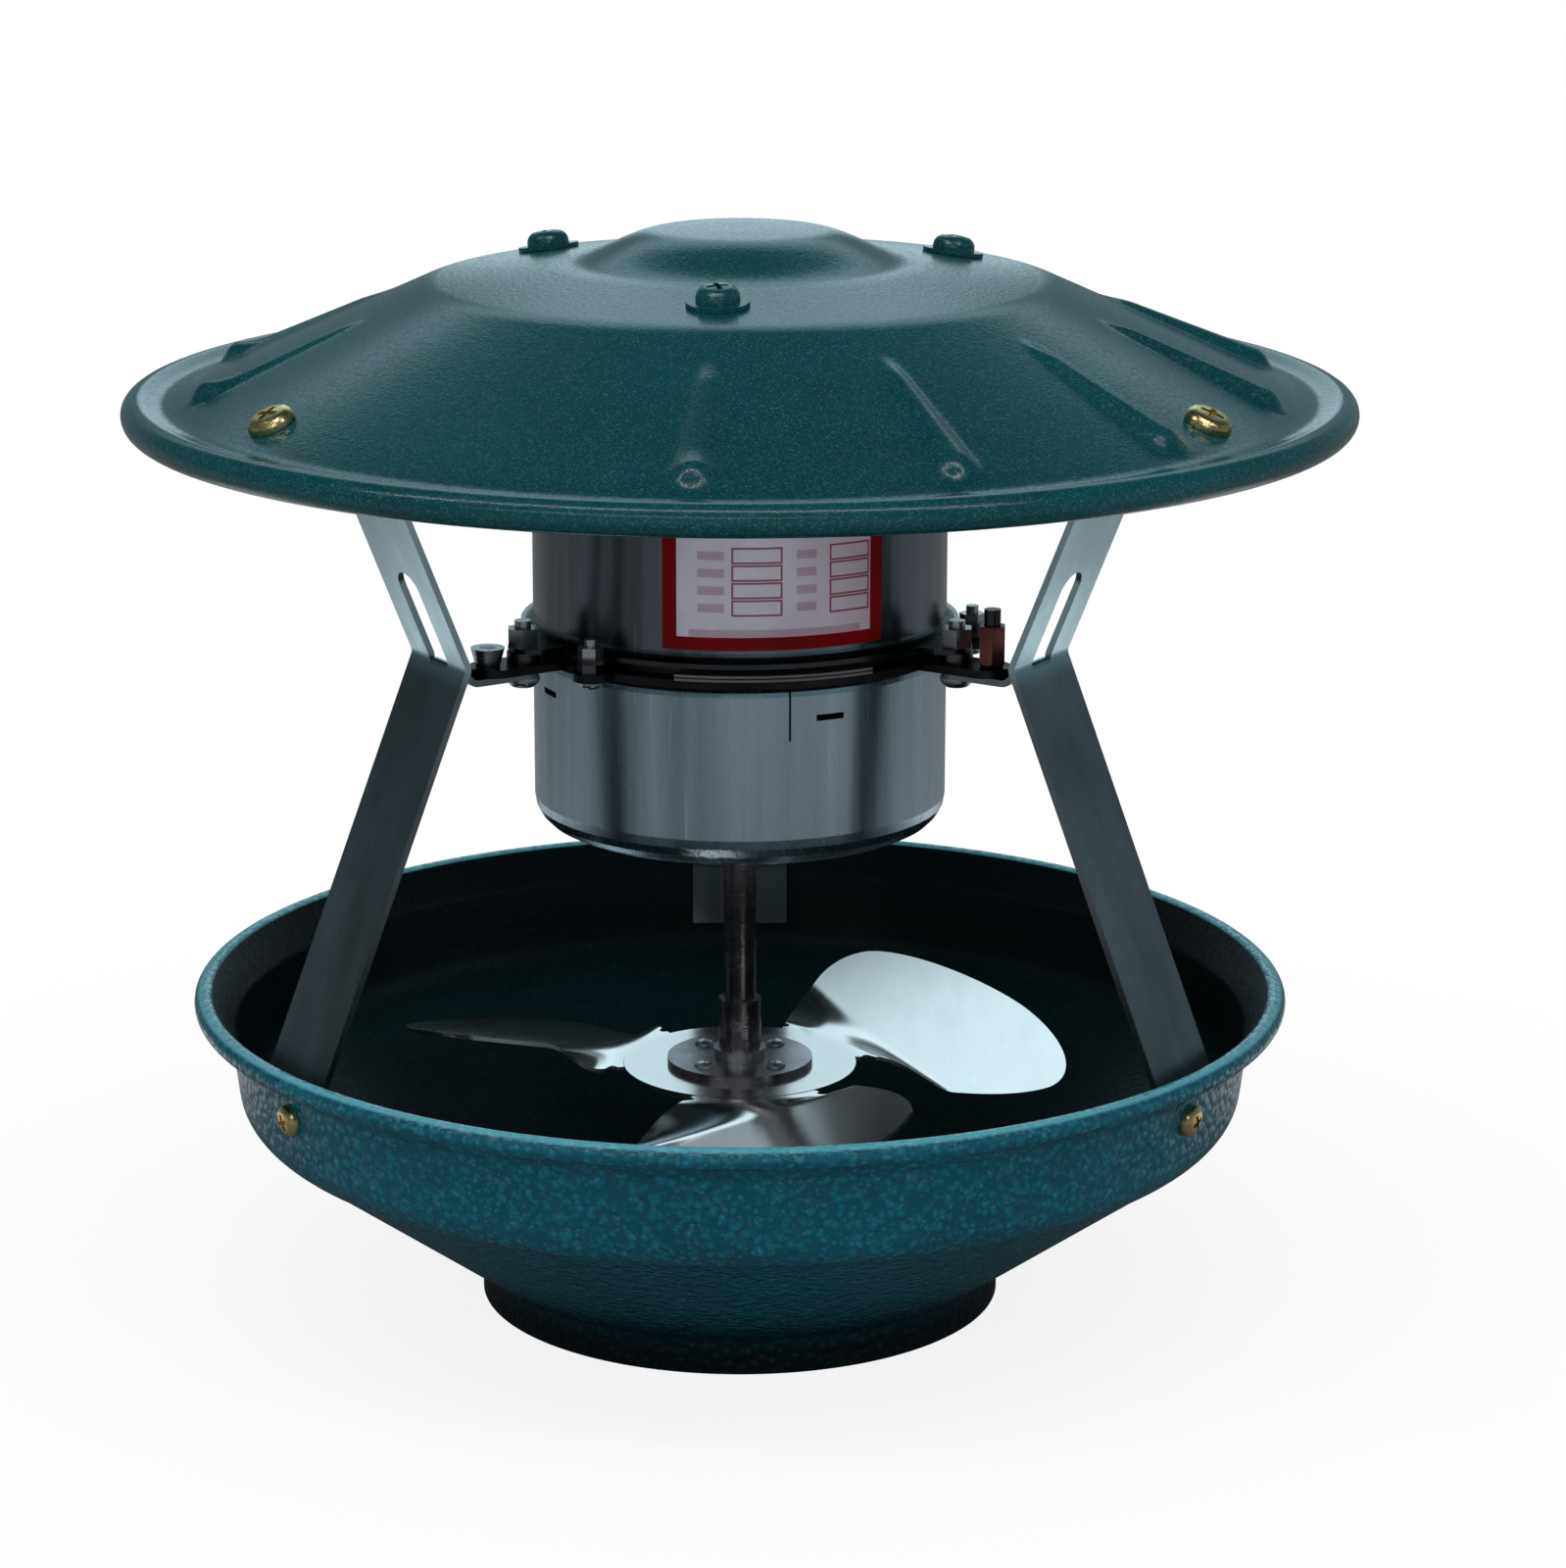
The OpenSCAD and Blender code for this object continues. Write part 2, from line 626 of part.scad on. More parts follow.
// Earth terminal on the right ear: a stud with a long copper nut
long_nut = [6, 10];
module earth_stud() {
    color("#5d6064") stack([strap_angle], bond_at, ring_z) cylinder(h = ring_t + long_nut[1] + 4, d = m4);
}
module earth_nut() {
    color("#a5613f") stack([strap_angle], bond_at, ring_top + eps) intersection() {
        hex_nut(long_nut, m4);
        rotate_extrude() polygon([[0, 0], [2.6, 0], [5, 3], [5, long_nut[1]], [0, long_nut[1]]]);
    }
}
// Bonding screw on the left ear: a short stud with a tapered nut
taper_nut_h = 4.6;
module bond_stud() {
    color("#5d6064") stack([-strap_angle], bond_at, ring_z) cylinder(h = ring_t + taper_nut_h, d = m4);
}
module bond_nut() {
    color("#7d8285") stack([-strap_angle], bond_at, ring_top + eps) difference() {
        cylinder(h = taper_nut_h, r1 = 2.9, r2 = 4.1);
        translate([0, 0, -1]) cylinder(h = taper_nut_h + 2, r = m4 / 2 + thread_gap);
    }
}

// Rubber grommet where the lead enters the upper shell, at the back
module cable_grommet() {
    color("#202122") at_angle(grommet_angle)
        translate([shell_d / 2, 0, grommet_z]) rotate([0, 90, 0]) rotate_extrude()
            polygon([[grommet_bore / 2, -shell_t - 2.2], [5.6, -shell_t - 2.2],
                [5.6, -shell_t - 0.5], [4.4, -shell_t - 0.5], [4.4, 0.4], [6.2, 0.4],
                [5.6, 2.2], [grommet_bore / 2, 2.4]]);
}

// Stator: laminated ring with open slots, wound with coils that run through them
slots = 12;
core_z = ring_z + 0.2;
slot_w = 7;
slot_from = core_bore / 2 + 3;
slot_to = core_r - 7;
coil_over = 9;
module stator_core() {
    color("#3a3b3d") difference() {
        translate([0, 0, core_z]) cylinder(h = core_len, r = core_r);
        translate([0, 0, core_z - 1]) cylinder(h = core_len + 2, d = core_bore);
        for (i = [0:slots - 1]) rotate([0, 0, i * 360 / slots])
            translate([slot_from, -slot_w / 2, core_z - 1])
                cube([slot_to - slot_from, slot_w, core_len + 2]);
    }
}
module windings() {
    room = 0.4;
    color("#a4532a") {
        for (i = [0:slots - 1]) rotate([0, 0, i * 360 / slots])
            translate([slot_from + room, -slot_w / 2 + room, core_z - 1])
                cube([slot_to - slot_from - 2 * room, slot_w - 2 * room, core_len + 2]);
        for (z = [core_z - coil_over, core_z + core_len + room])
            difference() {
                translate([0, 0, z]) cylinder(h = coil_over - room, r = slot_to - room);
                translate([0, 0, z - 1]) cylinder(h = coil_over + 2, r = slot_from + room);
            }
    }
}

// Rotor: what turns with the shaft
module rotor_core() {
    color("#77797c") translate([0, 0, core_z]) washer(core_bore - 2 * air_gap,
        shaft_d + 2 * thread_gap, core_len);
}
module bearing(z) {
    translate([0, 0, z]) difference() {
        rotate_extrude() polygon([[shaft_d / 2 + run_gap, 0], [bearing_d / 2, 0],
            [bearing_d / 2, bearing_w], [shaft_d / 2 + run_gap, bearing_w]]);
        for (face = [0, bearing_w]) translate([0, 0, face]) washer(bearing_d * 0.78,
            bearing_d * 0.56, 0.5);
    }
}
module upper_bearing() { color("#c2c4c7") bearing(upper_bearing_z); }
module lower_bearing() { color("#c2c4c7") bearing(lower_bearing_z); }

shaft_end = disc_z - 12;
module shaft() {
    top = upper_cup_roof - shell_t / 2 - 0.5;
    color("#35373a") translate([0, 0, shaft_end]) cylinder(h = top - shaft_end, d = shaft_d);
}
clip_t = 1.2;
module shaft_circlips() {
    color("#6a6c70")
        for (z = [lower_bearing_z + bearing_w + 0.3, upper_bearing_z - 0.3 - clip_t])
            translate([0, 0, z]) washer(shaft_d + 4, shaft_d + 2 * thread_gap, clip_t);
}

// Hub: a flange on the fan disc, a sleeve up the shaft and a boss below with a grub screw
disc_t = blade_t + 0.2;
flange_z = disc_z + disc_t / 2 + eps;
flange_t = 1.6;
hub_flange_d = 36.6;
sleeve_d = shaft_d + 2.6;
sleeve_h = 17;
boss_d = 18;
boss_h = 9;
grub_z = disc_z - boss_h / 2 - 1;
module impeller_hub() {
    color("#3d4145") difference() {
        union() {
            translate([0, 0, flange_z]) cylinder(h = flange_t, d = hub_flange_d);
            translate([0, 0, flange_z]) cylinder(h = sleeve_h, d = sleeve_d);
            translate([0, 0, flange_z - boss_h]) cylinder(h = boss_h + eps, d = boss_d);
        }
        translate([0, 0, flange_z - boss_h - 1])
            cylinder(h = boss_h + sleeve_h + 2, r = shaft_d / 2 + thread_gap);
        rivet_places() translate([0, 0, -5]) cylinder(h = 10, r = rivet_d / 2 + thread_gap);
        translate([0, 0, grub_z]) rotate([0, 90, 0]) cylinder(h = boss_d, r = m4 / 2 + thread_gap);
    }
}
module hub_collar() {
    color("#b7b9b6") translate([0, 0, flange_z + flange_t + eps])
        washer(sleeve_d + 2.6, sleeve_d + 2 * thread_gap, 2.4);
}
module hub_grub_screw() {
    color("#2c2d2f") translate([shaft_d / 2 + 0.1, 0, grub_z]) rotate([0, 90, 0]) difference() {
        cylinder(h = boss_d / 2 - shaft_d / 2 - 0.4, d = m4);
        translate([0, 0, 2.6]) cylinder(h = 5, d = 2.3, $fn = 6);
    }
}
rivet_d = 3;
rivet_at = 12.8;
module rivet_places() {
    for (i = [0:3]) rotate([0, 0, 45 + i * 90]) translate([rivet_at, 0, disc_z]) children();
}
module hub_rivets() {
    grip = disc_t + flange_t;
    color("#c6c8c4") rivet_places() translate([0, 0, -disc_t / 2]) {
        translate([0, 0, -2 * eps]) cylinder(h = grip + 5 * eps, d = rivet_d);
        translate([0, 0, grip + 2 * eps]) rivet_head();
        translate([0, 0, -eps]) mirror([0, 0, 1]) rivet_head();
    }
}
module rivet_head() {
    rotate_extrude()
        polygon(concat([[0, 0]], [for (a = [0:18:90]) [2.4 * cos(a), 1.3 * sin(a)]]));
}

// Impeller: one sheet. The blades leave the flat disc level, twist to their pitch
// within a short neck, and widen to a rounded tip.
// Each blade is a grid of stations along the radius and places across the chord.
blade_from = disc_d / 2 - 4;
twist_over = 13;
wide_at = 66.5;
tip_power = 1.8;
across = 8;
neck_stations = 6;
field_stations = 4;
tip_stations = 7;
tip_r = fan_d / 2;
function smooth(x) = x <= 0 ? 0 : x >= 1 ? 1 : x * x * (3 - 2 * x);
function neck_share(r) = smooth((r - disc_d / 2) / twist_over);
function pitch(r) = neck_share(r) * (tip_pitch + root_twist * (tip_r - r) / (tip_r - blade_from));
function hollow(r) = neck_share(r) * camber;
neck_end = disc_d / 2 + twist_over;
function half_chord(r) = root_w / 2
    + (chord - root_w) / 2 * sin(90 * (r - blade_from) / (wide_at - blade_from));
// Stations as [radius, half width]: straight sides out to wide_at, then a rounded tip
stations = concat(
    [for (i = [0:neck_stations]) let (r = blade_from + (neck_end - blade_from) * i / neck_stations)
        [r, half_chord(r)]],
    [for (i = [1:field_stations]) let (r = neck_end + (wide_at - neck_end) * i / field_stations)
        [r, half_chord(r)]],
    [for (i = [1:tip_stations]) let (a = 88 * i / tip_stations, k = 2 / tip_power)
        [wide_at + (tip_r - wide_at) * pow(sin(a), k), chord / 2 * pow(cos(a), k)]]);
// One point of the blade: side +1 is its upper face, -1 its lower face
function blade_point(s, v, side) =
    let (r = s[0], w = s[1] * v, p = pitch(r), y = w - blade_shift * neck_share(r),
         h = hollow(r) * (pow(w / (chord / 2), 2) - 0.35),
         up = h + side * blade_t / 2)
    [r, y * cos(p) - up * sin(p), disc_z + y * sin(p) + up * cos(p)];
blade_rows = len(stations);
blade_cols = across + 1;
function blade_index(i, j, side) = side * blade_rows * blade_cols + i * blade_cols + j;
blade_points = [for (side = [1, -1]) for (s = stations) for (j = [0:across])
    blade_point(s, 2 * j / across - 1, side)];
function quad(a, b, c, d) = [[a, b, c], [a, c, d]];
blade_faces = concat(
    [for (i = [0:blade_rows - 2]) for (j = [0:across - 1])
        for (f = quad(blade_index(i, j, 0), blade_index(i, j + 1, 0),
            blade_index(i + 1, j + 1, 0), blade_index(i + 1, j, 0))) f],
    [for (i = [0:blade_rows - 2]) for (j = [0:across - 1])
        for (f = quad(blade_index(i, j, 1), blade_index(i + 1, j, 1),
            blade_index(i + 1, j + 1, 1), blade_index(i, j + 1, 1))) f],
    [for (i = [0:blade_rows - 2])
        for (f = quad(blade_index(i, 0, 0), blade_index(i + 1, 0, 0),
            blade_index(i + 1, 0, 1), blade_index(i, 0, 1))) f],
    [for (i = [0:blade_rows - 2])
        for (f = quad(blade_index(i, across, 0), blade_index(i, across, 1),
            blade_index(i + 1, across, 1), blade_index(i + 1, across, 0))) f],
    [for (j = [0:across - 1]) let (i = blade_rows - 1)
        for (f = quad(blade_index(i, j, 0), blade_index(i, j + 1, 0),
            blade_index(i, j + 1, 1), blade_index(i, j, 1))) f],
    [for (j = [0:across - 1])
        for (f = quad(blade_index(0, j, 0), blade_index(0, j, 1),
            blade_index(0, j + 1, 1), blade_index(0, j + 1, 0))) f]);

module impeller() {
    relief_d = 2.4;
    color("#d8dad8") difference() {
        union() {
            translate([0, 0, disc_z - disc_t / 2]) cylinder(h = disc_t, d = disc_d);
            for (i = [0:blades - 1]) at_angle(first_blade + i * 360 / blades)
                polyhedron(points = blade_points, faces = blade_faces);
        }
        translate([0, 0, disc_z - 5]) cylinder(h = 10, r = boss_d / 2 + thread_gap);
        rivet_places() translate([0, 0, -5]) cylinder(h = 10, r = rivet_d / 2 + thread_gap);
        for (i = [0:blades - 1]) at_angle(first_blade + i * 360 / blades)
            for (side = [-1, 1])
                translate([disc_d / 2 - 1.6, side * (root_w / 2 + relief_d / 2 + 0.4), disc_z - 2])
                    cylinder(h = 4, d = relief_d);
    }
}

rain_cap();
shelf_screws();
shelf_washers();
shelf_nuts();
cap_screws();
cap_nuts();
strap_left();
strap_right();
strap_back();
lower_dish();
dish_screws();
dish_nuts();
motor_upper_shell();
motor_lower_shell();
mounting_ring();
packing_plate();
rating_plate();
tab_bolts();
tab_spacers();
tab_nuts();
clamp_screws();
clamp_spacers();
clamp_nuts();
earth_stud();
earth_nut();
bond_stud();
bond_nut();
cable_grommet();
stator_core();
windings();
rotor_core();
upper_bearing();
lower_bearing();
shaft();
shaft_circlips();
impeller_hub();
hub_collar();
hub_rivets();
hub_grub_screw();
impeller();
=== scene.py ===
"""Chimney draught fan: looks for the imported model, in the order in which it is put together."""
import math

import bmesh
import bpy
import numpy as np
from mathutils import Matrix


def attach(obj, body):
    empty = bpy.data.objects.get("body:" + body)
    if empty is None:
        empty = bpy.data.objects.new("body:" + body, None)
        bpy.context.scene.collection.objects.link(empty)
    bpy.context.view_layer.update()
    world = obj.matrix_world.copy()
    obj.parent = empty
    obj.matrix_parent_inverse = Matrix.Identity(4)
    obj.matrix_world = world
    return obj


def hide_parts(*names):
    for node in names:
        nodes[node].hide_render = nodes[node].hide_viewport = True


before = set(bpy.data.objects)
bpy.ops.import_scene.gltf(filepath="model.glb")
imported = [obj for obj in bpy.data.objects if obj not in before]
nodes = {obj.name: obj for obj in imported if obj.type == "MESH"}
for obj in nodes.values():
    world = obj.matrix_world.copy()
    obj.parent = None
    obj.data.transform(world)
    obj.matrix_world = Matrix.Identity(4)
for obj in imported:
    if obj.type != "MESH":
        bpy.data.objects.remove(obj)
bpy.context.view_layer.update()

# Camera. The fan was photographed from the front and a little above, from about
# a metre away with a long lens, so that the far rim of the dish shows inside it.
eye_tilt, eye_distance, eye_aim = 0.25503, 1.16387, 0.13101
eye = bpy.data.cameras.new("eye")
eye.sensor_width = 36.0
eye.lens = 107.24
eye.shift_x = 0.0275
eye.clip_start = 0.05
eye_object = bpy.data.objects.new("eye", eye)
eye_object.location = (0.0, -eye_distance * math.cos(eye_tilt),
                       eye_aim + eye_distance * math.sin(eye_tilt))
eye_object.rotation_euler = (math.pi / 2 - eye_tilt, 0.0, 0.0)
bpy.context.scene.collection.objects.link(eye_object)
bpy.context.scene.camera = eye_object
bpy.context.scene.view_settings.view_transform = "Standard"


# Studio floor. A pale floor runs out into the white backdrop and keeps the shadow of
# the fan. It is no part of the fan.
def new_material(name):
    """An empty node material with its output and its Principled shader."""
    material = bpy.data.materials.new(name)
    material.use_nodes = True
    tree = material.node_tree
    tree.nodes.clear()
    out = tree.nodes.new("ShaderNodeOutputMaterial")
    skin = tree.nodes.new("ShaderNodeBsdfPrincipled")
    tree.links.new(skin.outputs["BSDF"], out.inputs["Surface"])
    return material, tree, skin


def node(tree, kind, **settings):
    """A node of that kind with its settings, and with its unlinked sockets set by name."""
    made = tree.nodes.new(kind)
    for key, value in settings.items():
        if hasattr(made, key):
            setattr(made, key, value)
        else:
            made.inputs[key.replace("_", " ")].default_value = value
    return made


def mix_colour(tree, share, first, second):
    """Two colours mixed by share. Each of the three is a socket or a fixed value."""
    made = tree.nodes.new("ShaderNodeMix")
    made.data_type = "RGBA"
    for place, value in ((0, share), (6, first), (7, second)):
        socket = made.inputs[place]
        if isinstance(value, bpy.types.NodeSocket):
            tree.links.new(value, socket)
        else:
            socket.default_value = value if isinstance(value, float) else (*value, 1.0)
    return made.outputs[2]


def arithmetic(tree, operation, first, second=0.0):
    """A math node on two values, each a socket or a number."""
    made = tree.nodes.new("ShaderNodeMath")
    made.operation = operation
    for socket, value in zip(made.inputs, (first, second)):
        if isinstance(value, bpy.types.NodeSocket):
            tree.links.new(value, socket)
        else:
            socket.default_value = value
    return made.outputs[0]


def slope(tree, value, start, end, low=0.0, high=1.0):
    """A smooth step of value: low before start, high after end."""
    made = node(tree, "ShaderNodeMapRange", interpolation_type="SMOOTHSTEP", From_Min=start,
                From_Max=end, To_Min=low, To_Max=high)
    tree.links.new(value, made.inputs["Value"])
    return made.outputs["Result"]


def object_place(tree, scale=(1.0, 1.0, 1.0)):
    """Object coordinates, scaled along each axis."""
    where = tree.nodes.new("ShaderNodeTexCoord")
    mapping = node(tree, "ShaderNodeMapping", Scale=scale)
    tree.links.new(where.outputs["Object"], mapping.inputs["Vector"])
    return mapping.outputs["Vector"]


def split(tree, vector):
    """The x, y and z of a vector."""
    made = tree.nodes.new("ShaderNodeSeparateXYZ")
    tree.links.new(vector, made.inputs["Vector"])
    return made.outputs["X"], made.outputs["Y"], made.outputs["Z"]


def from_axis(tree, x, y):
    """The distance from the vertical axis: the square root of x x + y y."""
    return arithmetic(tree, "SQRT", arithmetic(tree, "ADD", arithmetic(tree, "MULTIPLY", x, x),
                                               arithmetic(tree, "MULTIPLY", y, y)))


def mix_shader(tree, share, first, second):
    """Two shaders mixed by share."""
    made = tree.nodes.new("ShaderNodeMixShader")
    for source, socket in zip((share, first, second), made.inputs):
        tree.links.new(source, socket)
    return made.outputs["Shader"]


floor_reach, floor_drop = 6.0, 0.0004
floor_dull, floor_pale = (0.14, 0.14, 0.145), (0.93, 0.93, 0.93)
floor_corners = [(x * floor_reach, y * floor_reach, -floor_drop)
                 for x, y in ((-1, -1), (1, -1), (1, 1), (-1, 1))]
floor_mesh = bpy.data.meshes.new("studio_floor")
floor_mesh.from_pydata(floor_corners, [], [(0, 1, 2, 3)])
studio_floor = bpy.data.objects.new("studio_floor", floor_mesh)
bpy.context.scene.collection.objects.link(studio_floor)
floor_paint, floor_tree, floor_skin = new_material("studio_floor")
floor_x, floor_y, _ = split(floor_tree, object_place(floor_tree))
floor_radius = from_axis(floor_tree, floor_x, floor_y)
floor_path = floor_tree.nodes.new("ShaderNodeLightPath")
floor_tree.links.new(
    mix_colour(floor_tree, floor_path.outputs["Is Camera Ray"], floor_dull, floor_pale),
    floor_skin.inputs["Base Color"])
floor_skin.inputs["Roughness"].default_value = 0.9
floor_skin.inputs["Specular IOR Level"].default_value = 0.1
# The camera sees the floor nearly white, with the shadow left in it near the fan.
# Gloss sees it bright beside and behind the fan, and dim farther out. Each pair is
# where a change starts and where it is full, in metres from the axis or along y.
shadow_ring, shadow_share = (0.08, 0.42), 0.86
glow_starts, glow_ends, glow_behind, glow_level = (0.17, 0.3), (0.34, 0.44), (-0.12, 0.15), 0.9
far_ring, far_level = (0.36, 0.46), 0.13
floor_seen = arithmetic(floor_tree, "MULTIPLY", floor_path.outputs["Is Camera Ray"],
                        slope(floor_tree, floor_radius, *shadow_ring, shadow_share, 1.0))
floor_near = arithmetic(floor_tree, "MULTIPLY", slope(floor_tree, floor_radius, *glow_starts),
                        slope(floor_tree, floor_radius, *glow_ends, 1.0, 0.0))
floor_behind = slope(floor_tree, floor_y, *glow_behind, 0.0, glow_level)
floor_lit = arithmetic(floor_tree, "ADD",
                       arithmetic(floor_tree, "MULTIPLY", floor_behind, floor_near),
                       slope(floor_tree, floor_radius, *far_ring, 0.0, far_level))
floor_gloss = arithmetic(floor_tree, "MAXIMUM", floor_path.outputs["Is Glossy Ray"],
                         floor_path.outputs["Is Transmission Ray"])
floor_mirrored = arithmetic(floor_tree, "MULTIPLY", floor_lit, floor_gloss)
floor_white = node(floor_tree, "ShaderNodeEmission", Strength=1.0)
floor_top = mix_shader(floor_tree, arithmetic(floor_tree, "MAXIMUM", floor_seen, floor_mirrored),
                       floor_skin.outputs["BSDF"], floor_white.outputs["Emission"])
# From below the floor is clear, so that the underside of the fan can be looked at.
floor_side = floor_tree.nodes.new("ShaderNodeNewGeometry")
floor_clear = floor_tree.nodes.new("ShaderNodeBsdfTransparent")
floor_both = mix_shader(floor_tree, floor_side.outputs["Backfacing"], floor_top,
                        floor_clear.outputs["BSDF"])
floor_out = next(n for n in floor_tree.nodes if n.type == "OUTPUT_MATERIAL")
floor_tree.links.new(floor_both, floor_out.inputs["Surface"])
floor_mesh.materials.append(floor_paint)

# Studio room. It is white to the camera, and an even fill to matt surfaces. Gloss sees
# a white backdrop behind the fan, which is narrow low down and has dim corners above,
# in a dim room. Each pair is where a change starts and is full, by a ray's direction.
back_edge, back_level, back_top = (0.5, 0.77), 0.9, (0.64, 0.76)
side_share, corner_edge = 1.2, (0.84, 1.0)
low_middle, low_side_level, low_top = (0.09, 0.15), 0.1, (0.33, 0.45)
room_sides, room_side_levels = (-0.9, 0.9), (0.7, 1.3)
room_heights, room_levels = (0.2, 0.8), (0.12, 0.02)
fill_tint, gloss_tint = (0.45, 0.46, 0.48), (0.8, 1.08, 1.2)
sky = bpy.data.worlds.new("studio")
bpy.context.scene.world = sky
sky.use_nodes = True
sky_tree = sky.node_tree
sky_tree.nodes.clear()
sky_out = sky_tree.nodes.new("ShaderNodeOutputWorld")
sky_way = sky_tree.nodes.new("ShaderNodeTexCoord")
sky_x, sky_y, sky_z = split(sky_tree, sky_way.outputs["Generated"])
sky_back = arithmetic(sky_tree, "MULTIPLY", slope(sky_tree, sky_y, *back_edge, 0.0, back_level),
                      slope(sky_tree, sky_z, *back_top, 1.0, 0.0))
sky_aside = arithmetic(sky_tree, "MULTIPLY", arithmetic(sky_tree, "ABSOLUTE", sky_x), side_share)
sky_under = slope(sky_tree, arithmetic(sky_tree, "ADD", sky_z, sky_aside), *corner_edge, 1.0, 0.0)
sky_narrow = arithmetic(sky_tree, "MAXIMUM",
                        slope(sky_tree, sky_aside, *low_middle, 1.0, low_side_level),
                        slope(sky_tree, sky_z, *low_top))
sky_shape = arithmetic(sky_tree, "MULTIPLY", sky_under, sky_narrow)
sky_room = arithmetic(sky_tree, "MULTIPLY",
                      slope(sky_tree, sky_x, *room_sides, *room_side_levels),
                      slope(sky_tree, sky_z, *room_heights, *room_levels))
sky_level = arithmetic(sky_tree, "ADD", arithmetic(sky_tree, "MULTIPLY", sky_back, sky_shape),
                       sky_room)
sky_path = sky_tree.nodes.new("ShaderNodeLightPath")
sky_seen = arithmetic(sky_tree, "MAXIMUM", sky_path.outputs["Is Camera Ray"],
                      sky_path.outputs["Is Transmission Ray"])
sky_gloss = mix_colour(sky_tree, arithmetic(sky_tree, "MINIMUM", sky_level, 1.0),
                       (0.0, 0.0, 0.0), gloss_tint)
sky_fill = mix_colour(sky_tree, sky_path.outputs["Is Glossy Ray"], fill_tint, sky_gloss)
sky_light = node(sky_tree, "ShaderNodeBackground", Strength=1.0)
sky_tree.links.new(mix_colour(sky_tree, sky_seen, sky_fill, (1.0, 1.0, 1.0)),
                   sky_light.inputs["Color"])
sky_tree.links.new(sky_light.outputs["Background"], sky_out.inputs["Surface"])


# Lamps. Soft panels light the fan from both sides, above and low in front. Gloss sees
# only the two narrow strips in front, which draw the bright lines on rim and lip.
def soft_panel(name, place, aim, width, height, power, seen=False):
    """A rectangular lamp at place that faces aim, and whether gloss sees it."""
    lamp = bpy.data.lights.new(name, "AREA")
    lamp.shape = "RECTANGLE"
    lamp.size, lamp.size_y = width, height
    lamp.energy = power
    held = bpy.data.objects.new(name, lamp)
    held.location = place
    way = np.array(aim) - np.array(place)
    held.rotation_euler = (math.atan2(math.hypot(way[0], way[1]), -way[2]), 0.0,
                           math.atan2(way[1], way[0]) - math.pi / 2)
    held.visible_glossy = seen
    bpy.context.scene.collection.objects.link(held)


soft_panel("panel_left", (-1.7, -0.3, 0.5), (0.0, 0.0, 0.14), 1.2, 1.0, 5.0)
soft_panel("panel_right", (1.7, -0.2, 0.5), (0.0, 0.0, 0.14), 1.2, 1.0, 6.0)
soft_panel("panel_above", (0.0, -0.2, 1.9), (0.0, 0.0, 0.2), 1.6, 1.2, 5.0)
soft_panel("strip_front", (-0.1, -0.55, 1.35), (0.0, -0.1, 0.14), 2.6, 0.05, 8.0, seen=True)
soft_panel("strip_low", (-0.4, -1.5, 0.95), (0.0, -0.1, 0.14), 1.8, 0.05, 2.5, seen=True)
soft_panel("panel_low", (0.0, -1.7, 0.12), (0.0, 0.0, 0.06), 2.0, 0.3, 13.0)

# Dish. It is spun from steel sheet: a neck that enters the flue, a cone, a wall and
# a flared rim with a rolled lip. Its coat is a coarse, bluish hammer finish.
mm = 0.001


def straight(start, end, count):
    """Points at even steps on the line between two places."""
    return np.linspace(start, end, count)


def arc(middle, radius, first, last, count):
    """Points on a circle between two angles in degrees: middle + radius (cos, sin)."""
    turn = np.radians(np.linspace(first, last, count))
    return np.array(middle) + radius * np.stack([np.cos(turn), np.sin(turn)], 1)


def rounded(before, at, after, radius, count):
    """A corner made round: the arc that touches both lines. Its middle lies on their
    bisector, radius / sin(half the corner's angle) away from the corner."""
    before, at, after = np.array(before), np.array(at), np.array(after)
    one = (before - at) / np.linalg.norm(before - at)
    two = (after - at) / np.linalg.norm(after - at)
    half = math.acos(one @ two) / 2
    middle = at + (one + two) / np.linalg.norm(one + two) * radius / math.sin(half)
    start, end = (math.degrees(math.atan2(*(at + way * radius / math.tan(half) - middle)[::-1]))
                  for way in (one, two))
    return arc(middle, radius, start, start + (end - start + 180) % 360 - 180, count)


def joined(*parts):
    """The parts as one path, without the points that two parts share."""
    shared_within = 0.02
    path = np.concatenate([np.atleast_2d(part) for part in parts])
    return path[np.r_[True, np.linalg.norm(np.diff(path, axis=0), axis=1) > shared_within]]


def normals_of(path):
    """Unit normals on the left of a path: its direction turned by a right angle."""
    along = np.gradient(path, axis=0)
    along /= np.linalg.norm(along, axis=1)[:, None]
    return np.stack([-along[:, 1], along[:, 0]], 1)


def turned(radius, height, angles):
    """Rows of a path turned round the axis: (r sin a, -r cos a, z) at every angle a."""
    a = np.radians(angles)[None, :]
    return np.stack([radius * np.sin(a), -radius * np.cos(a), height + 0 * a], 2) * mm


def turned_sheet(path, thickness, angles, lift=0.0):
    """Both faces of a sheet on a turned path. A face is the path moved along its normal
    by half the thickness to its side, plus the lift given for each row and angle."""
    normal = normals_of(path)
    faces = []
    for side in (0.5, -0.5):
        out = side * thickness + lift + np.zeros((len(path), len(angles)))
        faces.append(turned(path[:, :1] + normal[:, :1] * out,
                            path[:, 1:] + normal[:, 1:] * out, angles))
    return np.concatenate([faces[0], faces[1][::-1], faces[0][:1]])


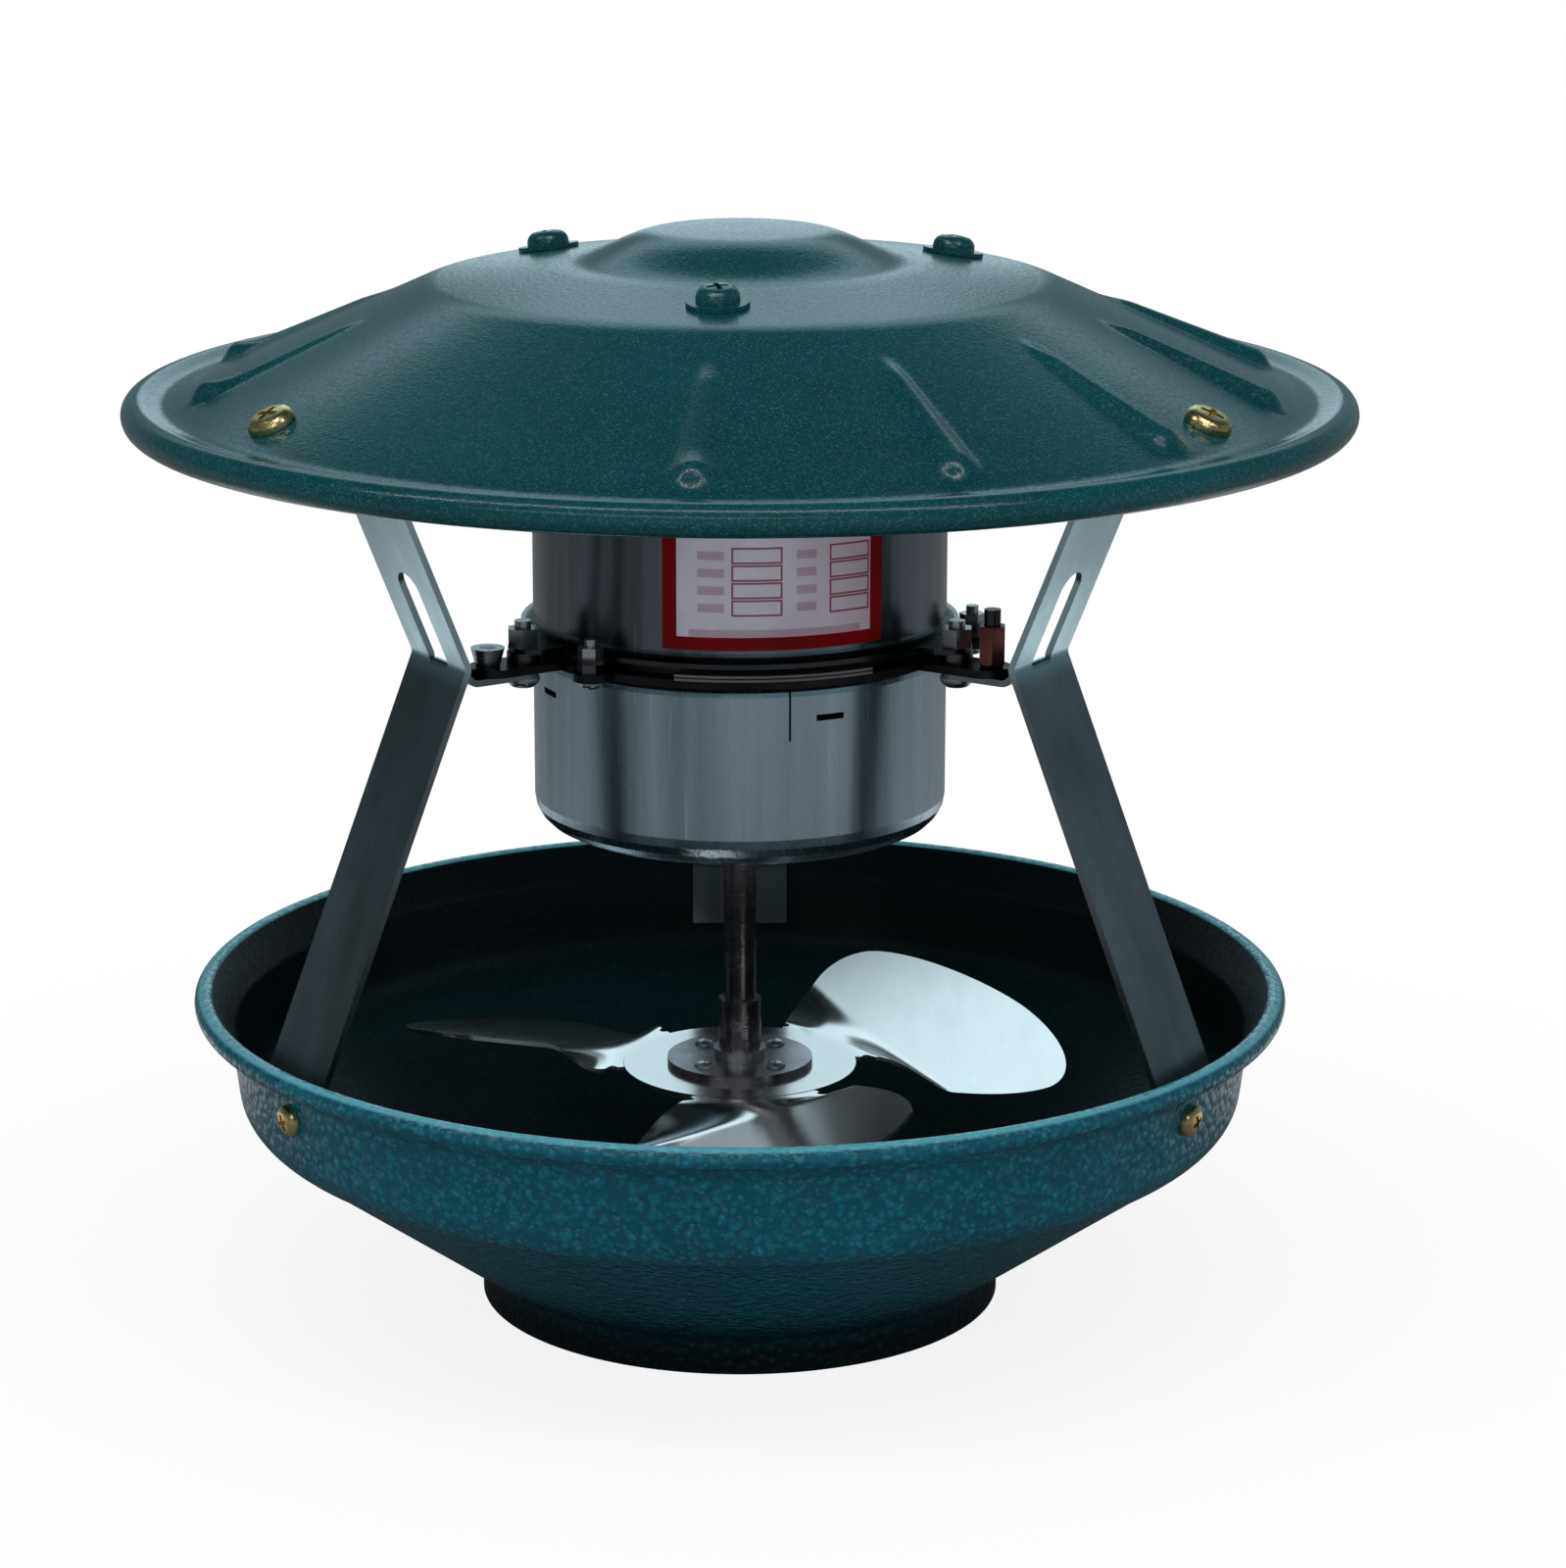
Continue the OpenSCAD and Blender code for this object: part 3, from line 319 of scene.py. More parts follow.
def sheet_piece(name, grids, material, sharp=35.0):
    """One mesh of grids of points, with a quad between each four neighbours. Points that
    fall together are merged, which closes seams and poles. Edges past sharp stay sharp."""
    corners, quads, count = [], [], 0
    for grid in grids:
        rows, columns = grid.shape[:2]
        place = count + np.arange(rows * columns).reshape(rows, columns)
        quads.append(np.stack([place[:-1, :-1], place[:-1, 1:], place[1:, 1:], place[1:, :-1]],
                              -1).reshape(-1, 4))
        corners.append(grid.reshape(-1, 3))
        count += rows * columns
    mesh = bpy.data.meshes.new(name)
    mesh.from_pydata(np.concatenate(corners).tolist(), [], np.concatenate(quads).tolist())
    shape = bmesh.new()
    shape.from_mesh(mesh)
    bmesh.ops.remove_doubles(shape, verts=shape.verts, dist=2e-6)
    bmesh.ops.recalc_face_normals(shape, faces=shape.faces)
    shape.to_mesh(mesh)
    shape.free()
    mesh.polygons.foreach_set("use_smooth", np.ones(len(mesh.polygons), bool))
    mesh.set_sharp_from_angle(angle=math.radians(sharp))
    mesh.materials.append(material)
    piece = bpy.data.objects.new(name, mesh)
    bpy.context.scene.collection.objects.link(piece)
    return piece


def new_group(name, inputs, outputs):
    """An empty shader group and its two ends. Inputs are pairs of a name and Float or
    Vector, and the outputs are Floats."""
    group = bpy.data.node_groups.new(name, "ShaderNodeTree")
    for label, kind in inputs:
        group.interface.new_socket(label, in_out="INPUT", socket_type="NodeSocket" + kind)
    for label in outputs:
        group.interface.new_socket(label, in_out="OUTPUT", socket_type="NodeSocketFloat")
    return group, group.nodes.new("NodeGroupInput"), group.nodes.new("NodeGroupOutput")


def noise(tree, vector, **settings):
    """A noise texture on a vector."""
    made = node(tree, "ShaderNodeTexNoise", **settings)
    tree.links.new(vector, made.inputs["Vector"])
    return made


def ramp(tree, source, stops, smooth=False):
    """A colour ramp on source, with its stops given as (place, (r, g, b))."""
    made = tree.nodes.new("ShaderNodeValToRGB")
    band = made.color_ramp
    band.interpolation = "B_SPLINE" if smooth else "LINEAR"
    for element, (place, tint) in zip(band.elements, stops, strict=True):
        element.position = place
        element.color = (*tint, 1.0)
    tree.links.new(source, made.inputs["Fac"])
    return made.outputs["Color"]


def clouded(tree, source, first, second, smooth=False):
    """Two colours that change over across the middle values of a noise."""
    return ramp(tree, source, ((0.3, first), (0.7, second)), smooth)


def grey(value):
    """The colour whose three parts are all value."""
    return value, value, value


def toned(tint, share):
    """A colour made darker or lighter by share, up to white."""
    return tuple(min(1.0, share * part) for part in tint)


def raise_normal(tree, skin, height, strength, depth, invert=False):
    """Bumps the normal by height: strength is a share, and depth is in metres."""
    relief = node(tree, "ShaderNodeBump", Strength=strength, Distance=depth, invert=invert)
    tree.links.new(height, relief.inputs["Height"])
    tree.links.new(relief.outputs["Normal"], skin.inputs["Normal"])


hammer, hammer_in, hammer_out = new_group(
    "hammer_finish", (("Vector", "Vector"), ("Cell size", "Float"), ("Fleck size", "Float")),
    ("Dimple", "Fleck", "Cloud"))
hammer_place = hammer_in.outputs["Vector"]
# Dimples: the distance to the nearest cell centre, bent by a little noise.
cell_wander, fleck_rarity = 0.0012, 9.0
hammer_wander = noise(hammer, hammer_place, Scale=160.0, Detail=2.0)
hammer_push = node(hammer, "ShaderNodeVectorMath", operation="MULTIPLY_ADD")
hammer_push.inputs[1].default_value = grey(cell_wander)
hammer.links.new(hammer_wander.outputs["Color"], hammer_push.inputs[0])
hammer.links.new(hammer_place, hammer_push.inputs[2])
hammer_cells = node(hammer, "ShaderNodeTexVoronoi", feature="SMOOTH_F1", Smoothness=0.45)
hammer.links.new(hammer_push.outputs["Vector"], hammer_cells.inputs["Vector"])
hammer.links.new(hammer_in.outputs["Cell size"], hammer_cells.inputs["Scale"])
hammer.links.new(hammer_cells.outputs["Distance"], hammer_out.inputs["Dimple"])
# Flecks: metal flakes in the coat, a few bright ones among the cells.
hammer_flakes = node(hammer, "ShaderNodeTexVoronoi", feature="F1")
hammer.links.new(hammer_place, hammer_flakes.inputs["Vector"])
hammer.links.new(hammer_in.outputs["Fleck size"], hammer_flakes.inputs["Scale"])
hammer_split = hammer.nodes.new("ShaderNodeSeparateColor")
hammer.links.new(hammer_flakes.outputs["Color"], hammer_split.inputs["Color"])
hammer.links.new(arithmetic(hammer, "POWER", hammer_split.outputs["Red"], fleck_rarity),
                 hammer_out.inputs["Fleck"])
# Clouds: the slow change of tone that a sprayed coat has.
hammer_cloud = noise(hammer, hammer_place, Scale=22.0, Detail=3.0)
hammer.links.new(hammer_cloud.outputs["Fac"], hammer_out.inputs["Cloud"])

cloud_dark, cloud_light = 0.84, 1.14
fleck_tint, shade_tint = (0.12, 0.32, 0.34), (0.0004, 0.0009, 0.0016)
# The colour of the painted highlight on the top of the dish's lip.
lip_highlight_tint = (0.14, 0.5, 0.58)
cell_middle, cell_edge, cell_depth = 0.16, 0.5, 0.36
rough_from, rough_to, rough_more = 0.1, 0.8, 0.12


def hammered_paint(name, deep, light, cells, flecks, bump, gloss, shade=None, painted_highlight=None):
    """A hammer-finish paint, deep in its hollows and light on its cells, with flecks under
    a thin gloss; the dark hollows and light cells are partly the coat's own tone and
    partly painted shade of the relief. Cells and flecks are (number in a metre, share).
    Shade is painted shade that darkens the coat below a height: (dark up to, full from,
    share left in the dark). The highlight argument paints a highlight that lightens the
    coat above a height, along an edge: (from, full at, share)."""
    material, tree, skin = new_material(name)
    place = object_place(tree)
    use = node(tree, "ShaderNodeGroup", node_tree=hammer, Cell_size=cells[0],
               Fleck_size=flecks[0])
    tree.links.new(place, use.inputs["Vector"])
    tone = clouded(tree, use.outputs["Cloud"], toned(deep, cloud_dark), toned(deep, cloud_light))
    # Light cell crowns and dark hollows: partly the coat's own tone, partly painted shade of the
    # relief.
    crown = ramp(tree, use.outputs["Dimple"], ((cell_middle, grey(1.0)), (cell_edge, grey(0.0))))
    coat = mix_colour(tree, arithmetic(tree, "MULTIPLY", crown, cells[1]), tone, light)
    coat = mix_colour(tree, arithmetic(tree, "MULTIPLY", use.outputs["Fleck"], flecks[1]),
                      coat, fleck_tint)
    # Painted shade: the coat darkens below a height, for the dish's neck in the shade of its cone.
    if shade:
        dark_to, full_from, share = shade
        coat = mix_colour(tree, slope(tree, split(tree, place)[2], dark_to, full_from,
                                      1.0 - share, 0.0), coat, shade_tint)
    # Painted highlight: a bright band along the top of the rolled lip, where the lamps draw a
    # line.
    if painted_highlight:
        highlight_from, full_at, share = painted_highlight
        coat = mix_colour(tree, slope(tree, split(tree, place)[2], highlight_from, full_at,
                                      0.0, share), coat, lip_highlight_tint)
    tree.links.new(coat, skin.inputs["Base Color"])
    rough = ramp(tree, use.outputs["Dimple"], ((rough_from, grey(gloss)),
                                               (rough_to, grey(gloss + rough_more))))
    tree.links.new(rough, skin.inputs["Roughness"])
    raise_normal(tree, skin, use.outputs["Dimple"], bump, cell_depth / cells[0], invert=True)
    skin.inputs["Specular IOR Level"].default_value = 0.38
    return material


dish_r, dish_t, dish_columns = 127.9, 1.4, 289
dish_wall_top, dish_knee_z, dish_taper = 72.0, 51.8, 2.5
neck_r, neck_h, neck_straight = 65.5, 9.0, 5.6
neck_bend_r, knee_bend_r, flare_bend_r = 3.0, 10.0, 3.0
flare_out, flare_up, lip_r, lip_first, lip_last = 8.7, 9.6, 2.7, 125, -110
lip_at = (dish_r + flare_out - lip_r, dish_wall_top + flare_up - lip_r)
lip_mid = lip_r - dish_t / 2
neck_mid = neck_r - dish_t / 2
knee_at = (dish_r - dish_t / 2 - dish_taper, dish_knee_z)
wall_at = (dish_r - dish_t / 2, dish_wall_top)
lip_start = np.array(lip_at) + lip_mid * np.array([-1, 1]) / math.sqrt(2)
cone_start = (neck_mid + 3.0, neck_h + 2.0)
cone_stop = (knee_at[0] - 7.0, knee_at[1] - 4.6)
dish_path = joined(
    straight((neck_mid, 0.0), (neck_mid, neck_straight), 5),
    rounded((neck_mid, 0.0), (neck_mid, neck_h), knee_at, neck_bend_r, 8),
    straight(cone_start, cone_stop, 24),
    rounded((neck_mid, neck_h), knee_at, wall_at, knee_bend_r, 12),
    rounded(knee_at, wall_at, lip_start, flare_bend_r, 8),
    arc(lip_at, lip_mid, lip_first, lip_last, 22))
# The dish's coat has painted shade on its neck and a painted highlight on its lip.
dish_paint = hammered_paint(
    "dish_paint", deep=(0.0005, 0.062, 0.09), light=(0.001, 0.145, 0.19), cells=(430.0, 0.6),
    flecks=(1300.0, 0.2), bump=0.65, gloss=0.18, shade=(0.004, 0.028, 0.03),
    painted_highlight=(0.0806, 0.0814, 0.6))
# A darker copy of the dish's coat: painted shade for the inside of the dish.
dish_inside_shade = hammered_paint(
    "dish_inside_shade", deep=(0.001, 0.017, 0.022), light=(0.002, 0.03, 0.038), cells=(560.0, 0.5),
    flecks=(1500.0, 0.06), bump=0.2, gloss=0.34, shade=(0.062, 0.042, 0.15))
dish = sheet_piece(
    "dish_sheet", [turned_sheet(dish_path, dish_t, np.linspace(0, 360, dish_columns))], dish_paint)
# The faces that look inwards, up to the flare, carry a darker coat: painted shade inside the dish,
# under the cap and the motor.
dish_shade_to = dish_wall_top + 7.0
dish.data.materials.append(dish_inside_shade)
dish_middle, dish_facing = np.zeros((2, len(dish.data.polygons) * 3))
dish.data.polygons.foreach_get("center", dish_middle)
dish.data.polygons.foreach_get("normal", dish_facing)
dish_middle, dish_facing = dish_middle.reshape(-1, 3), dish_facing.reshape(-1, 3)
dish_inward = (dish_middle[:, :2] * dish_facing[:, :2]).sum(1) < 0
dish_shaded = dish_inward & (dish_middle[:, 2] < dish_shade_to * mm)
dish.data.polygons.foreach_set("material_index", dish_shaded.astype(np.int32))
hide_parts("lower_dish")
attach(dish, "housing")

# Straps. Rolled steel strip, bent cold and left bare: bright above the waist, and darker on the
# lower legs, which is painted shade. They are screwed to the cap's cone and to the dish's wall.
grain, grain_in, grain_out = new_group(
    "metal_grain", (("Stretched", "Vector"), ("Grain size", "Float")),
    ("Grain", "Stain and sheen", "Scratch"))
grain_way, grain_size = grain_in.outputs["Stretched"], grain_in.outputs["Grain size"]
stain_sheen_fineness, scratch_fineness, scratch_peaks = 0.16, 3.1, (0.62, 0.8)
# Grain: fine noise drawn out along the way in which the metal was worked.
grain_lines = noise(grain, grain_way, Detail=6.0, Roughness=0.65)
grain.links.new(grain_size, grain_lines.inputs["Scale"])
grain.links.new(grain_lines.outputs["Fac"], grain_out.inputs["Grain"])
# Stain and sheen: broad streaks of oil and handling, about a sixth as fine as the grain; on the
# motor shells they also stand for painted reflections in broad bands.
grain_stain_sheen = noise(grain, grain_way, Detail=4.0, Roughness=0.55, Distortion=0.4)
grain.links.new(arithmetic(grain, "MULTIPLY", grain_size, stain_sheen_fineness),
                grain_stain_sheen.inputs["Scale"])
grain.links.new(grain_stain_sheen.outputs["Fac"], grain_out.inputs["Stain and sheen"])
# Scratch: the rare peaks of a finer noise, drawn out the same way.
grain_scratch = noise(grain, grain_way, Detail=2.0, Roughness=0.5)
grain.links.new(arithmetic(grain, "MULTIPLY", grain_size, scratch_fineness),
                grain_scratch.inputs["Scale"])
grain.links.new(slope(grain, grain_scratch.outputs["Fac"], *scratch_peaks),
                grain_out.inputs["Scratch"])

stain_sheen_from, stain_sheen_to = 0.36, 0.62
scratch_share, scratch_bright = 0.3, 1.4
# How much darker and lighter the painted shade below a height runs, across the stain noise.
low_shade_darker, low_shade_lighter = 0.6, 1.5
grain_smooth, grain_coarse, grain_depth = 0.25, 0.8, 0.0003


def worked_metal(name, tint, dark, rough, size, stretch, streaks=0.4, bump=0.08, spread=0.14,
                 shaded_below=None):
    """Bare metal: grain drawn out along one way, streaks of stain that are partly painted sheen,
    and fine scratches.
    The argument after spread names a height below which painted shade darkens the surface: (full
    at, clear from, tint)."""
    material, tree, skin = new_material(name)
    use = node(tree, "ShaderNodeGroup", node_tree=grain, Grain_size=size)
    tree.links.new(object_place(tree, stretch), use.inputs["Stretched"])
    # Streaks of stain, which on the motor shells are painted reflections.
    face = ramp(tree, use.outputs["Stain and sheen"], ((stain_sheen_from, dark), (stain_sheen_to, tint)), smooth=True)
    face = mix_colour(tree, arithmetic(tree, "MULTIPLY", use.outputs["Grain"], streaks),
                      face, dark)
    face = mix_colour(tree, arithmetic(tree, "MULTIPLY", use.outputs["Scratch"], scratch_share),
                      face, toned(tint, scratch_bright))
    # Painted shade below a height, clouded by the stain noise.
    if shaded_below:
        full_at, clear_from, low_shade_tint = shaded_below
        low_shade = clouded(tree, use.outputs["Stain and sheen"], toned(low_shade_tint, low_shade_darker),
                       toned(low_shade_tint, low_shade_lighter), smooth=True)
        height = split(tree, object_place(tree))[2]
        face = mix_colour(tree, slope(tree, height, full_at, clear_from, 1.0, 0.0), face, low_shade)
    tree.links.new(face, skin.inputs["Base Color"])
    skin.inputs["Metallic"].default_value = 1.0
    worn = ramp(tree, use.outputs["Grain"], ((grain_smooth, grey(rough)),
                                             (grain_coarse, grey(rough + spread))))
    tree.links.new(worn, skin.inputs["Roughness"])
    raise_normal(tree, skin, use.outputs["Grain"], bump, grain_depth)
    return material


def dress(material, *names):
    """Gives CAD nodes their material."""
    for name in names:
        mesh = nodes[name].data
        mesh.materials.clear()
        mesh.materials.append(material)


# Below the waist the strap steel carries painted shade.
strap_steel = worked_metal(
    "strap_steel", (0.58, 0.8, 0.88), (0.38, 0.54, 0.6), 0.24, 260.0, (1.0, 1.0, 0.12),
    shaded_below=(0.168, 0.174, (0.24, 0.28, 0.3)))
dress(strap_steel, "strap_left", "strap_right", "strap_back")

# Mounting ring. Punched steel plate, blackened. It lies on the tongues of the straps,
# and its ears take the bolts that hold the motor.
ring_steel = worked_metal("ring_steel", (0.05, 0.05, 0.055), (0.018, 0.018, 0.02), 0.35, 400.0,
                          (1.0, 1.0, 1.0))
dress(ring_steel, "mounting_ring")

# Motor shells. Two deep-drawn steel cups, streaked along the axis: partly grain of the drawing,
# partly painted reflections in broad bands. The upper one is darker, which is painted shade under
# the cap, with deeper painted shade at its foot. The edges of the packing plate show above the
# ring at the front.
shell_steel = worked_metal("shell_steel", (0.56, 0.72, 0.82), (0.26, 0.35, 0.41), 0.2, 330.0,
                           (1.0, 1.0, 0.04), streaks=0.2, bump=0.05)
dress(shell_steel, "motor_lower_shell")
# A darker copy of the shell steel: painted shade for the upper shell, deeper at its foot.
shade_steel = worked_metal("shade_steel", (0.25, 0.31, 0.35), (0.07, 0.085, 0.1), 0.2, 330.0,
                           (1.0, 1.0, 0.04), streaks=0.2, bump=0.05,
                           shaded_below=(0.1738, 0.1754, (0.05, 0.055, 0.06)))
dress(shade_steel, "motor_upper_shell")
packing_steel = worked_metal("packing_steel", (0.42, 0.41, 0.42), (0.2, 0.19, 0.2), 0.3, 300.0,
                             (0.2, 0.2, 1.0))
dress(packing_steel, "packing_plate")

# Motor inside. Iron cores stacked from stamped sheets, coils of enamelled copper wire,
# and ball bearings that are pressed into the shells' cups.
core_iron = worked_metal("core_iron", (0.18, 0.18, 0.19), (0.07, 0.07, 0.08), 0.4, 900.0,
                         (0.05, 0.05, 1.0))
dress(core_iron, "stator_core", "rotor_core")
coil_copper = worked_metal("coil_copper", (0.5, 0.22, 0.1), (0.28, 0.1, 0.05), 0.3, 700.0,
                           (0.1, 0.1, 1.0))
dress(coil_copper, "windings")
bright_zinc = worked_metal("bright_zinc", (0.62, 0.65, 0.67), (0.28, 0.3, 0.33), 0.22, 600.0,
                           (1.0, 1.0, 1.0))
dress(bright_zinc, "upper_bearing", "lower_bearing")

# Rating plate. A printed foil stuck on the upper shell, with a red border, two columns
# of four plain outlined fields, and plain bars. Nothing is lettered on it.
outline, outline_in, outline_out = new_group(
    "printed_frame", [(label, "Float") for label in (
        "Across", "Up", "Middle across", "Middle up", "Half width", "Half height", "Line")],
    ("Mask",))
# The frame is where the larger of the two distances past the half sizes is within a line.
outline_past = []
for axis, half in (("across", "Half width"), ("up", "Half height")):
    away = arithmetic(outline, "ABSOLUTE", arithmetic(
        outline, "SUBTRACT", outline_in.outputs[axis.capitalize()],
        outline_in.outputs["Middle " + axis]))
    outline_past.append(arithmetic(outline, "SUBTRACT", away, outline_in.outputs[half]))
outline_far = arithmetic(outline, "ABSOLUTE", arithmetic(outline, "MAXIMUM", *outline_past))
outline.links.new(arithmetic(outline, "LESS_THAN", outline_far, outline_in.outputs["Line"]),
                  outline_out.inputs["Mask"])

# Places on the foil are in millimetres: across from its middle, and up from its foot.
plate_seat, plate_mid, plate_foot = 51.05, math.radians(10.0), 176.8
plate_foil, plate_tree, plate_skin = new_material("plate_foil")
plate_x, plate_y, plate_z = split(plate_tree, object_place(plate_tree, grey(1 / mm)))
plate_turn = arithmetic(plate_tree, "ARCTAN2", plate_x,
                        arithmetic(plate_tree, "MULTIPLY", plate_y, -1.0))
plate_across = arithmetic(plate_tree, "MULTIPLY",
                          arithmetic(plate_tree, "SUBTRACT", plate_turn, plate_mid), plate_seat)
plate_up = arithmetic(plate_tree, "SUBTRACT", plate_z, plate_foot)


def printed_frame(middle_across, middle_up, half_width, half_height, line):
    """The mask of one printed frame on the plate, in millimetres."""
    use = node(plate_tree, "ShaderNodeGroup", node_tree=outline, Middle_across=middle_across,
               Middle_up=middle_up, Half_width=half_width, Half_height=half_height, Line=line)
    plate_tree.links.new(plate_across, use.inputs["Across"])
    plate_tree.links.new(plate_up, use.inputs["Up"])
    return use.outputs["Mask"]


def printed_columns(columns, half_height, line, mask=None):
    """The frames of all columns at all rows as one mask, added to a mask that is given.
    A column is (middle, half width)."""
    for middle, half_width in columns:
        for row in plate_rows:
            added = printed_frame(middle, row, half_width, half_height, line)
            mask = arithmetic(plate_tree, "MAXIMUM", mask, added) if mask else added
    return mask


plate_rows = (10.3, 14.5, 18.7, 22.9)
field_columns, field_half, field_line = ((-4.9, 5.8), (18.2, 5.2)), 1.75, 0.24
bar_columns, bar_half, bar_line = ((-15.8, 2.6), (7.0, 1.9)), 0.5, 0.55
foot_bar_up, foot_bar_half = 4.0, 20.5
paper_tints, blush_tint = ((0.44, 0.44, 0.52), (0.58, 0.57, 0.66)), (0.5, 0.33, 0.4)
blush_reach, blush_share = (-6.0, 26.0), 0.5
bar_tint, bar_share = (0.2, 0.02, 0.04), 0.4
line_tint, line_share = (0.2, 0.01, 0.03), 0.85
border_tints = ((0.085, 0.0003, 0.001), (0.15, 0.0005, 0.002))
foil_rough, foil_metal = (0.32, 0.45), 0.35
plate_print = printed_frame(0.0, 15.5, 25.9, 14.2, 1.9)
plate_fields = printed_columns(field_columns, field_half, field_line)
plate_bars = printed_columns(bar_columns, bar_half, bar_line,
                             printed_frame(0.0, foot_bar_up, foot_bar_half, bar_half, bar_line))
plate_noise = noise(plate_tree, object_place(plate_tree), Scale=60.0, Detail=5.0,
                    Roughness=0.6).outputs["Fac"]
plate_blush = slope(plate_tree, plate_across, *blush_reach, 0.0, blush_share)
plate_face = mix_colour(plate_tree, plate_blush, clouded(plate_tree, plate_noise, *paper_tints),
                        blush_tint)
plate_face = mix_colour(plate_tree, arithmetic(plate_tree, "MULTIPLY", plate_bars, bar_share),
                        plate_face, bar_tint)
plate_face = mix_colour(plate_tree, arithmetic(plate_tree, "MULTIPLY", plate_fields, line_share),
                        plate_face, line_tint)
plate_face = mix_colour(plate_tree, plate_print, plate_face,
                        clouded(plate_tree, plate_noise, *border_tints))
plate_bare = arithmetic(plate_tree, "SUBTRACT", 1.0, plate_print)
plate_tree.links.new(plate_face, plate_skin.inputs["Base Color"])
plate_tree.links.new(clouded(plate_tree, plate_noise, *map(grey, foil_rough)),
                     plate_skin.inputs["Roughness"])
plate_tree.links.new(arithmetic(plate_tree, "MULTIPLY", plate_bare, foil_metal),
                     plate_skin.inputs["Metallic"])
plate_skin.inputs["Specular IOR Level"].default_value = 0.12
raise_normal(plate_tree, plate_skin, plate_noise, 0.1, 0.0003)
dress(plate_foil, "rating_plate")

# Grommet. Moulded black rubber, pushed into its hole in the back of the upper shell,
# where the lead of such a motor enters.
rubber_tints = (0.012, 0.022)
grommet_rubber, rubber_tree, rubber_skin = new_material("grommet_rubber")
rubber_noise = noise(rubber_tree, object_place(rubber_tree), Scale=900.0, Detail=3.0)
rubber_tree.links.new(clouded(rubber_tree, rubber_noise.outputs["Fac"], *map(grey, rubber_tints)),
                      rubber_skin.inputs["Base Color"])
rubber_skin.inputs["Roughness"].default_value = 0.6
raise_normal(rubber_tree, rubber_skin, rubber_noise.outputs["Fac"], 0.15, 0.0002)
dress(grommet_rubber, "cable_grommet")

# Fasteners. Yellow-passivated screws hold the straps to cap and dish. The flange has
# bright zinc bolts, screws and nuts over dark spacers, and its two terminals are dark
# studs, one with a copper-tinted nut.
yellow_zinc = worked_metal("yellow_zinc", (1.0, 0.84, 0.42), (0.62, 0.48, 0.2), 0.2, 500.0,
                           (1.0, 1.0, 1.0))
dress(yellow_zinc, "cap_screws", "dish_screws")
dress(bright_zinc, "tab_bolts", "clamp_screws", "clamp_nuts", "tab_nuts", "cap_nuts",
      "dish_nuts", "shelf_nuts", "bond_nut")
copper_tint = worked_metal("copper_tint", (0.4, 0.17, 0.13), (0.16, 0.06, 0.05), 0.3, 500.0,
                           (1.0, 1.0, 1.0))
dress(copper_tint, "earth_nut")
dark_steel = worked_metal("dark_steel", (0.16, 0.15, 0.16), (0.05, 0.05, 0.055), 0.22, 500.0,
                          (1.0, 1.0, 0.2))
dress(dark_steel, "tab_spacers", "clamp_spacers", "earth_stud", "bond_stud")

# Shaft and hub. Ground and turned dark steel; the hub's grub screw holds it on the
# shaft. A bright collar lies over its sleeve, and rivets go through its flange.
shaft_steel = worked_metal("shaft_steel", (0.4, 0.36, 0.4), (0.14, 0.13, 0.14), 0.2, 420.0,
                           (0.3, 0.3, 1.0))
dress(shaft_steel, "shaft", "shaft_circlips", "impeller_hub", "hub_grub_screw")
collar_zinc = worked_metal("collar_zinc", (0.72, 0.74, 0.73), (0.45, 0.47, 0.48), 0.25, 500.0,
                           (1.0, 1.0, 1.0))
dress(collar_zinc, "hub_collar", "hub_rivets")

# Impeller. One sheet of bright rolled aluminium: three blades leave a flat disc
# through a twisted neck and widen to a rounded tip. It is riveted under the hub.
blade_count, first_blade = 3, 128.0
disc_r, disc_t, disc_z, disc_bore = 29.5, 1.2, 58.0, 9.05
disc_middle, disc_columns, bore_break, edge_break = 18.0, 241, 0.1, 0.15
blade_t, root_w, chord, blade_shift = 1.0, 30.0, 76.5, 4.8
blade_from, wide_at, tip_r, tip_power = 25.5, 66.5, 91.0, 1.8
tip_pitch, root_twist, camber, twist_over = 13.5, 1.5, 1.4, 13.0
notch_r, notch_at, notch_out = 1.2, 27.9, 16.6
neck_to, body_from, tip_from, stations, places = 34.0, 35.0, 4.0, 26, 33
camber_level = 0.35


